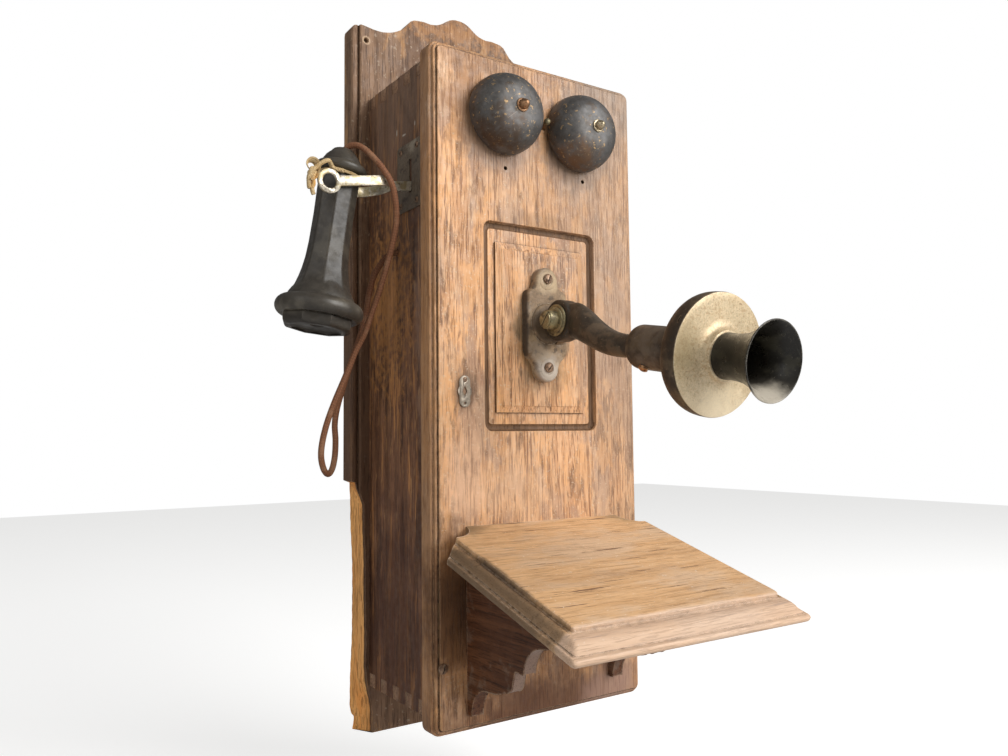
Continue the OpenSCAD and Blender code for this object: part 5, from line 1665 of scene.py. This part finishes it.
# Transmitter
@dataclass
class Transmitter:
    """Cast bracket, curved arm, cup, faceplate and flared mouthpiece."""

    door_front: float = -172.0
    pivot_y: float = -205.0
    pivot_z: float = 21.0
    face_y: float = -390.0
    face_z: float = -25.7
    tilt: float = 9.5
    plate_t: float = 9.5
    slot_turn: float = 149.0
    knuckle_r: float = 19.0
    knuckle_half: float = 8.0
    cup_r: float = 46.5
    cup_depth: float = 20.5
    socket_back: float = -87.5
    grille_r: float = 7.0
    boss_r: float = 18.2
    arm: tuple[Point, ...] = ((0, -211, 20.5), (0, -222, 19.8), (0, -233, 14.8), (0, -246, 7),
                              (0, -259, -0.2), (0, -272, -5.6), (0, -286, -9), (0, -302.6, -11.4))
    arm_sizes: tuple[Flat, ...] = ((7.5, 14), (7.7, 16.2), (11.5, 15), (12.6, 13), (12, 11.8), (11, 10.9),
                                   (10.2, 10.2), (9.4, 9.4))
    voxel: float = 0.0009
    lobes: Flat = (62.0, -21.0)
    lobe_r: float = 12.5
    shoulder: tuple[Flat, ...] = (
        (12.9, -19.5), (14.0, -16.8), (16.2, -14.2), (19.0, -11.6), (21.4, -8.6), (22.7, -5.0), (23.0, -1.0),
        (23.0, 21.0), (23.0, 45.0), (22.7, 48.6), (21.4, 51.3), (19.0, 53.0), (16.4, 54.0), (14.2, 55.6),
        (13.0, 57.8), (12.6, 60.0))

    def mouth_axis(self) -> Matrix:
        """Returns the place of the faceplate, its Z pointing out of the mouthpiece."""
        return moved(0, self.face_y, self.face_z) @ turned(90 + self.tilt, "X")

    def build_bracket(self) -> None:
        """Makes the cast bracket with its lug."""
        (upper, lower), r, t = self.lobes, self.lobe_r, self.plate_t
        outline = (list(self.shoulder) + arc(0, upper, r, 0, 180, 26)
                   + [(-x, z) for x, z in reversed(self.shoulder)] + arc(0, lower, r, 184, 356, 26))
        upright = moved(0, self.door_front, 0) @ turned(90, "X")
        steps = ((0, 0), (0, 6.2), (0.25, 7.4), (0.8, 8.4), (1.6, 9.1), (2.5, t))
        form = Form().plate(outline, steps, upright)
        for z in self.lobes:
            form.lathe(((9.6, t - 1), (9.3, t + 0.1), (8.6, t + 0.45), (5.6, t + 0.3), (5, t - 1)),
                       upright @ moved(0, z, 0), 48, closed=True)
        form.lathe(((0, 8), (19.5, 8), (19, 10.4), (18, 12), (16.6, 12.5), (0, 12.5)),
                   upright @ moved(0, self.pivot_z, 0), 64)
        lug = arc(-self.pivot_y, self.pivot_z, 16.0, -90, 90, 24) + [
            (out - self.door_front, up + self.pivot_z)
            for out, up in ((14, 16), (9, 20), (9, -20), (14, -16))]
        steps = ((1.2, 0), (0.35, 0.35), (0, 1.2), (0, 7.8), (0.35, 8.65), (1.2, 9))
        form.plate(lug, steps, sideways(8.3, -1))
        made = form.piece("bracket_casting", BRACKET_IRON, sharp=40)
        stand(made, "door", "bracket_iron", "transmitter_bracket")
        dress(SCREW_STEEL, "bracket_screws")
        dress(PIVOT_BRASS, "pivot_bolt", "pivot_washers", rounding=0.35)

    def build_arm(self) -> None:
        """Makes the arm as one casting with soft transitions."""
        across = moved(0, self.pivot_y, self.pivot_z) @ turned(90, "Y")
        k, h = self.knuckle_r, self.knuckle_half
        form = Form().lathe(((0, -h), (k - 1.4, -h), (k - 0.4, -h + 0.4), (k, -h + 1.4), (k, h - 1.4),
                             (k - 0.4, h - 0.4), (k - 1.4, h), (0, h)), across, 96)
        path = smooth_run(self.arm, 4)
        sizes = smooth_profile(self.arm_sizes, 4)
        form.tube(path, [(side - 0.1, up - 0.1) for side, up in sizes], 32, side=(1, 0, 0))
        form.lathe(((0, -93.5), (8.7, -93.5), (8.7, -66), (0, -66)), self.mouth_axis(), 48)
        made = form.piece("arm_casting", ARM_ENAMEL, sharp=60)
        again = made.modifiers.new("Remesh", "REMESH")
        again.mode = "VOXEL"
        again.voxel_size = self.voxel
        again.use_smooth_shade = True
        soft = made.modifiers.new("Soft", "SMOOTH")
        soft.factor = 0.5
        soft.iterations = 5
        settle(made)
        stand(made, "transmitter", "arm_enamel", "transmitter_arm")

    def build_cup(self) -> None:
        """Makes the cup and its faceplate."""
        axis = self.mouth_axis()
        d, s, b, r = self.cup_depth, self.socket_back, self.boss_r, self.cup_r
        outside = [(9.3, s + 0.2)] + arc(b - 7, s + 7, 7, -86, 0, 10)
        outside += [(b, -d - 9), (b + 0.1, -d - 5), (b + 0.4, -d - 2.8), (b + 1.4, -d - 1.4),
                    (21.4, -d - 0.9), (25, -d - 0.55), (30, -d - 0.3), (35, -d), (37.4, -d + 0.25),
                    (39.4, -d + 0.8), (41.2, -d + 1.7), (42.8, -d + 3.1), (44, -d + 4.7), (45, -d + 6.6),
                    (45.7, -d + 8.6), (46.2, -d + 10.8), (r - 0.1, -d + 13), (r, -d + 14.4), (r, -1.6),
                    (r - 0.2, -0.9), (r - 0.8, -0.8), (r - 1.5, -0.8), (r - 1.5, -2.5)]
        inside = [(r - 3, -2.5), (43, -8), (41.6, -12), (38.5, -15.4), (32, -17), (21, -17), (9.3, -17.1)]
        cup = Form().lathe(outside + inside, axis, 128, closed=True).piece("cup_shell", CUP_ENAMEL, sharp=34)
        slot = Form().plate(((r - 1.2, -3), (r + 3, -3), (r + 3, 3), (r - 1.2, 3)), ((0, -5.2), (0, -3.8)),
                            axis @ turned(self.slot_turn, "Z"))
        cut(cup, [slot], CUP_ENAMEL, 34.0)
        stand(cup, "transmitter", "cup_enamel", "transmitter_cup")
        plate = Form().lathe(((15.2, -2.5), (r - 1.6, -2.5), (r - 1.6, -0.85), (r - 0.7, -0.75),
                              (r - 0.3, -0.5), (r - 0.5, -0.1), (r - 1, 0.05), (42, 0.3), (34, 0.75),
                              (27, 1.1), (24.4, 1.4), (22.6, 1.9), (21.2, 2.7), (20.2, 3.7), (19.6, 4.8),
                              (19.3, 5.9), (19, 6.5), (18.5, 7.05), (17.9, 7.2), (15.2, 7.2)),
                             axis, 128, closed=True)
        made = plate.piece("faceplate_turned", PLATE_NICKEL, sharp=40)
        stand(made, "transmitter", "plate_nickel", "faceplate")

    def build_mouth(self) -> None:
        """Makes the flared mouthpiece with its pierced grille."""
        axis = self.mouth_axis()
        flare = smooth_profile(((17.3, 7.3), (17, 12), (17, 17), (17.6, 24), (19.2, 31), (22.4, 39),
                                (26, 45.5), (28.6, 48.9)), 4)
        bore = smooth_profile(((27.9, 49.4), (24.6, 45), (20.8, 39), (17.4, 31), (15.8, 24), (15, 17),
                               (13.6, 8), (13, 0.8)), 4)
        lip = [(29.15, 48.8), (29.4, 49.2), (29.35, 49.7), (29, 50), (28.5, 50)]
        outline = [(14.9, -1.5), (14.9, 7.2)] + flare + lip + bore + [(13, -1.5)]
        made = Form().lathe(outline, axis, 128, closed=True).piece("mouthpiece_horn", MOUTH_RUBBER, sharp=40)
        grille = Form().lathe(((0, 0.5), (12.4, 0.5), (13.2, 0.3), (13.2, -1.4), (0, -1.4)), axis, 64)
        disc = grille.piece("mouthpiece_grille", MOUTH_RUBBER, sharp=40)
        holes = [Form().lathe(((1.5, -4), (1.5, 3)), axis @ moved(*place), 20, caps=True)
                 for place in [(0, 0, 0)] + circle(self.grille_r, 0, 6)]
        cut(disc, holes, MOUTH_RUBBER, 40.0)
        stand(made, "transmitter", "mouth_rubber", "mouthpiece")
        stand(disc, "transmitter", "mouth_rubber")

    def build(self) -> None:
        """Makes the bracket, the arm and the head, and dresses what is left."""
        self.build_bracket()
        self.build_arm()
        self.build_cup()
        self.build_mouth()
        dress(CLAMP_COPPER, "clamp_screw")
        dress(DISC_METAL, "transmitter_diaphragm")
        dress(CARBON_DARK, "carbon_button")


# Writing shelf
@dataclass
class WritingShelf:
    """Sloping shelf with a moulded edge on two scroll-sawn brackets."""

    door_front: float = -172.0
    top_z: float = -162.0
    slope: float = 16.3
    half_w: float = 123.7
    length: float = 210.0
    cove_r: float = 38.0
    thick: float = 18.0
    bracket_x: float = 85.5
    bracket_t: float = 12.0
    right_lift: float = 8.0
    ogee: tuple[Flat, ...] = ((17.0, 0.0), (16.2, -0.15), (15.5, -0.6), (15.1, -1.4), (15.0, -3.2),
                              (14.8, -4.3), (14.2, -4.9), (13.2, -4.9), (12.2, -4.4), (10.8, -4.6),
                              (9.4, -5.3), (8.0, -6.5), (6.9, -7.9), (5.8, -8.9), (4.7, -9.5), (4.2, -10.0),
                              (4.0, -10.8), (3.5, -11.1), (2.4, -10.9), (1.2, -11.1), (0.4, -11.9),
                              (0.0, -13.2), (0.3, -14.8), (1.0, -16.2), (2.2, -17.3), (3.4, -17.9),
                              (4.2, -18.0))

    def outline(self, e: float) -> list[Flat]:
        """Draws the shelf's outline.

        Args:
            e: how far it is drawn in.

        Returns:
            The outline on the shelf's own slope.
        """
        w, n, c = self.half_w - e, self.length - e * (1.0 + 0.042 * e), self.cove_r - e
        front = [p for cx, a in ((-w + 3, 180), (w - 3, 270)) for p in arc(cx, -n + 3, 3.0, a, a + 90, 4)]
        return front + arc(w, 0, c, 270, 180, 14) + arc(-w, 0, c, 0, -90, 14)

    def build_shelf(self) -> None:
        """Makes the shelf, flat against the door at its rear."""
        place = moved(0, self.door_front, self.top_z) @ turned(self.slope, "X")
        rings = []
        for e, z in self.ogee:
            ring = [place @ Vector((x, y, z)) for x, y in self.outline(e)]
            for p in ring:
                p.y = min(p.y, self.door_front)
            rings.append(ring)
        made = Form().skin(rings).piece("shelf_oak", SHELF_OAK, sharp=30)
        stand(made, "door", "oak_shelf", "shelf")

    def scroll(self, lift: float) -> list[Flat]:
        """Draws a bracket's side, distance in front of the wall by height.

        Args:
            lift: how much shallower it is sawn.

        Returns:
            The outline, from the door forward and back along the shelf.
        """
        slope = math.radians(self.slope)
        under = self.top_z - self.thick / math.cos(slope) - 0.05
        top = [(-295.0, under - (295.0 + self.door_front) * math.tan(slope)), (self.door_front, under)]
        sawn = [(self.door_front, -323), (-179, -323)] + arc(-204, -321.5, 25, 0, 90, 16)
        sawn += [(-216, -295.4), (-222, -294), (-227, -292.4)] + arc(-232, -281, 9.5, 285, 205, 10)
        sawn += [(-245, -271.2), (-250, -270.5), (-255.5, -271.2)] + arc(-284, -273, 27, 5, 90, 18)
        return [(y, z + lift) for y, z in sawn + [(-291, -244.5)]] + top

    def build_brackets(self) -> None:
        """Makes the two brackets."""
        t = self.bracket_t
        steps = ((0.5, 0), (0.12, 0.12), (0, 0.5), (0, t - 0.5), (0.12, t - 0.12), (0.5, t))
        for name, x, lift in (("left", -self.bracket_x, 0.0), ("right", self.bracket_x - t, self.right_lift)):
            form = Form().plate(self.scroll(lift), steps, sideways(x, 1))
            stand(form.piece("shelf_scroll_" + name, BRACKET_WOOD, sharp=40), "door", "bracket_wood",
                  "shelf_bracket_" + name)

    def build(self) -> None:
        """Makes the shelf and its brackets."""
        self.build_shelf()
        self.build_brackets()


# Hook and receiver
@dataclass
class HookSwitch:
    """Hook plate, lever and fork, and the switch inside."""

    rounding: float = 0.6

    def build(self) -> None:
        """Dresses the lever, its plate and the switch."""
        dress(HOOK_PLATE, "hook_plate", rounding=0.25)
        dress(SCREW_STEEL, "hook_plate_screws")
        dress(PIVOT_BRASS, "hook_switch_frame", rounding=0.25)
        dress(CONTACT_BRASS, "hook_contacts")
        dress(HOOK_NICKEL, "hook_lever", rounding=self.rounding)


@dataclass
class Receiver:
    """Moulded receiver hanging in the fork, with its caps and the string round its neck."""

    neck: Point = (-181.6, -114.0, 140.2)
    lean: float = 8.7
    sided: tuple[Flat, ...] = ((9, 18.4), (-6, 18.2), (-28, 17.8), (-54, 18.2), (-68, 19.1), (-78, 20.6),
                               (-86, 22.4), (-93, 24.4), (-98, 25.8), (-106, 27.5))
    round_part: tuple[Flat, ...] = ((9, 10), (-78, 16.5), (-86, 19.6), (-91, 22.2), (-95, 24.6), (-98, 26.6),
                                    (-102, 28.9), (-105, 30.2))
    flange_r: float = 38.47
    flange_round: float = 8.4
    flange_z: float = -113.5
    hollow: tuple[Flat, ...] = ((29.5, -121), (25, -121), (25, -103), (12.5, -102.8), (12.5, 8.9))
    flats: int = 8
    facet_turn: float = 23.0
    worn_corner: float = 0.982
    blend: float = 0.6
    ear_side: tuple[Flat, ...] = ((23.8, -121), (30.9, -121), (31.4, -121.8), (31.4, -126.6), (31, -128.2),
                                  (30, -129.7), (28.4, -130.7), (26.2, -131), (23.6, -131))
    ear_dish: tuple[Flat, ...] = ((23.4, -130.6), (20.2, -128.8), (19, -128.4), (6.6, -127.2), (5.8, -126.6),
                                  (5.5, -125.4), (5.5, -121.2))
    ring_r: float = 19.5
    bow: tuple[Point, ...] = ((-4.5, -19.6, 8.4), (-13, -17.4, 8.8), (-17.5, -20.5, 11),
                              (-21.5, -25.6, 10.5), (-26, -28, 7.4), (-30.5, -27.4, 2.4),
                              (-33.4, -26.4, -2.5), (-33, -26.4, -8.5), (-31, -24.8, -13),
                              (-31.4, -24, -17), (-29.4, -23.8, -21.5))
    end: tuple[Point, ...] = ((-30.5, -27, 1.5), (-35, -27.6, -3.5), (-36.2, -26, -9), (-34.8, -24.6, -14.5),
                              (-33.6, -24.4, -17.5))
    ribbon: tuple[Point, ...] = ((-33.6, -26.6, -4), (-37.4, -26, -1.6), (-39.4, -25, 2.2),
                                 (-37.2, -24.4, 6.2), (-33.2, -24.6, 6.8), (-30, -25.6, 3.2),
                                 (-29.8, -26.6, -3.6), (-31.4, -26.8, -9.2), (-34.4, -26.6, -10.8),
                                 (-35.4, -26.6, -7.4), (-33.6, -26.6, -4))

    def axis(self) -> Matrix:
        """Returns the receiver's place, its Z up along the lean."""
        return moved(*self.neck) @ turned(self.lean, "Y")

    def girth(self, turn: float, height: float) -> float:
        """Radius of the body, flat-sided above and flaring into the flange.

        Args:
            turn: angle round it.
            height: place along it.

        Returns:
            The radius.
        """
        flat, flare = (reading(table, height) for table in (self.sided, self.round_part))
        step = math.tau / self.flats
        off = ((turn - math.radians(self.facet_turn)) % step) - step / 2
        side = min(flat * math.cos(step / 2) / math.cos(off), flat * self.worn_corner)
        return 0.5 * (side + flare + math.sqrt((side - flare) ** 2 + self.blend ** 2))

    def build_body(self) -> None:
        """Makes the flat-sided body with its round flange."""
        sides = 128
        turns = [math.tau * k / sides for k in range(sides)]
        heights = [9.0, 8.4] + [8.0 - 2.2 * i for i in range(37)]
        heights += [-73.0 - i for i in range(1, 32)] + [-104.6]
        rings = []
        for height in heights:
            shrink = 0.6 if height > 8.7 else 0.0
            reach = [self.girth(a, height) - shrink for a in turns]
            rings.append([(r * math.cos(a), r * math.sin(a), height) for r, a in zip(reach, turns)])
        rim = arc(self.flange_r - self.flange_round, self.flange_z, self.flange_round, 88, -64, 20)
        rings += [circle(r, z, sides) for r, z in rim + list(self.hollow)]
        form = Form().skin(rings, self.axis(), closed=True)
        made = form.piece("receiver_shell", RECEIVER_RUBBER, sharp=26)
        stand(made, "receiver", "receiver_rubber", "receiver_body")

    def build_tail_cap(self) -> None:
        """Makes the turned tail cap."""
        ridge = arc(18.9, 15.2, 4.5, -90, 62, 16)
        outer = [(3.1, 9.05), (15, 9.05), (16.4, 9.3), (17.0, 10.2)] + ridge
        outer += [(19.6, 19.6), (18.4, 19.9), (18.1, 20.5), (17.9, 21.3), (17.2, 22.9), (16.0, 25.0),
                  (14.9, 27.1), (13.2, 29.0), (12.0, 30.3), (10.9, 31.3), (10.2, 32.6), (9.2, 33.7),
                  (8.2, 34.3)]
        inner = [(7.2, 33.4), (5.0, 30.6), (3.1, 27.5)]
        tail = Form().lathe(outer + inner, self.axis(), 96, closed=True)
        stand(tail.piece("tail_cap_turned", RECEIVER_RUBBER, sharp=34), "receiver", "receiver_rubber",
              "receiver_tail_cap")

    def build_ear_cap(self) -> None:
        """Makes the ear cap, eight-sided outside and round inside."""
        flats, sides, rings = self.flats, 64, []
        start = math.pi / flats
        for radius, height in self.ear_side:
            row = []
            for k, (c, s, _) in enumerate(circle(1.0, 0.0, sides, start)):
                off = ((k / sides * flats) % 1.0 - 0.5) * math.tau / flats
                reach = radius * math.cos(start) / math.cos(off)
                row.append((reach * c, reach * s, height))
            rings.append(row)
        rings += [circle(radius, height, sides, start) for radius, height in self.ear_dish]
        ear = Form().skin(rings, self.axis() @ turned(22.5, "Z"), closed=True)
        stand(ear.piece("ear_cap_moulded", RECEIVER_RUBBER, sharp=30), "receiver", "receiver_rubber",
              "receiver_ear_cap")

    def twist(self, form: Form, path: Sequence[Vector], width: float, turns: float, offset: float,
              strands: int = 3) -> None:
        """Adds twisted strands along a path.

        Args:
            form: the form that takes them.
            path: the path of the whole string.
            width: a strand's radius.
            turns: number of turns over the path.
            offset: a strand's distance from the path.
            strands: number of strands.
        """
        for strand in range(strands):
            line = []
            across = Vector((0.2, 0.3, 1.0))
            for i, spot in enumerate(path):
                run = (path[min(i + 1, len(path) - 1)] - path[max(i - 1, 0)]).normalized()
                across = (across - across.dot(run) * run).normalized()
                a = strand * math.tau / 3 + turns * math.tau * i / (len(path) - 1)
                line.append(spot + offset * (across * math.cos(a) + run.cross(across) * math.sin(a)))
            form.tube(line, [(width, width)] * len(line), 8, self.axis())

    def build_string(self) -> None:
        """Makes the string's two turns round the neck and its bow."""
        form, r = Form(), self.ring_r
        for level, start in ((8.0, 0.4), (9.3, 2.0)):
            turn = [Vector((r * math.cos(a), r * math.sin(a), level + 0.3 * math.sin(2 * a)))
                    for a in [start + math.tau * i / 160 for i in range(161)]]
            self.twist(form, turn, 0.46, 26.0, 0.42)
        for run, turns in ((self.bow, 14.0), (self.end, 7.0)):
            self.twist(form, smooth_run(run, 10), 1.1, turns, 1.0)
        loop = smooth_run(self.ribbon, 8)
        form.tube(loop, [(3.3 * math.sin(math.pi * min(max(i / (len(loop) - 1), 0.12), 0.88)) + 0.5, 0.6)
                         for i in range(len(loop))], 10, self.axis(), side=(0.2, 1.0, 0.3))
        knot = [Vector((-34.0 + 2.6 * math.cos(a), -26.5 + 1.4 * math.sin(2 * a), -4.0 + 3.0 * math.sin(a)))
                for a in [math.tau * i / 30 for i in range(46)]]
        self.twist(form, knot, 1.25, 6.0, 0.5, 1)
        made = form.piece("string_strands", STRING_YARN, sharp=60)
        stand(made, "receiver", "string_yarn", "neck_string")

    def build(self) -> None:
        """Makes the receiver and dresses what is inside it."""
        self.build_body()
        self.build_tail_cap()
        self.build_ear_cap()
        self.build_string()
        dress(DISC_METAL, "receiver_diaphragm")
        dress(INNER_IRON, "receiver_magnet", rounding=0.3)


# Generator
@dataclass
class Generator:
    """Magneto with its crank at the right side of the box."""

    shaft_r: float = 2.56
    crank_x: float = 114.0
    crank_y: float = -74.0
    crank_z: float = 114.0
    arm_out: float = 7.4
    reach: float = 45.0
    angle: float = 20.0

    def build(self) -> None:
        """Makes the turned knob and dresses the works."""
        place = (moved(0, self.crank_y, self.crank_z) @ turned(self.angle, "X")
                 @ moved(self.crank_x + self.arm_out, 0, -self.reach) @ turned(90, "Y"))
        body = smooth_profile(((5.6, 0), (6.3, 0.9), (6.5, 2.2), (5.5, 6), (6.3, 14), (8.3, 22), (9.3, 28),
                               (8.5, 32), (6.6, 33.9)), 4)
        outline = [(self.shaft_r, 0.0)] + body + [(self.shaft_r, 34.2)]
        knob = Form().lathe(outline, place, 64, closed=True).piece("crank_knob_turned", KNOB_BLACK, sharp=40)
        stand(knob, "crank_knob", "knob_black", "crank_knob")
        dress(MAGNET_RED, "generator_magnets", rounding=0.6)
        dress(GEAR_BRASS, "generator_end_plates", "drive_gear")
        dress(INNER_IRON, "generator_armature")
        dress(SHAFT_STEEL, "crank_shaft", "crank_arm")
        dress(GEAR_BRASS, "crank_bushing", rounding=0.3)


def main() -> None:
    """Builds the telephone in its studio."""
    logging.basicConfig(level=logging.INFO, format="%(name)s: %(message)s")
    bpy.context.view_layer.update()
    studio = Studio()
    studio.place_camera()
    for part in (ReceiverCord(), Backboard(), Box(), Door(), Ringer(), Transmitter(), WritingShelf(),
                 HookSwitch(), Receiver(), Generator()):
        part.build()
        LOG.info("%s done", type(part).__name__)
    studio.light()
    studio.lay_floor()
    bpy.context.scene.view_settings.view_transform = "Standard"


if __name__ == "__main__":
    main()
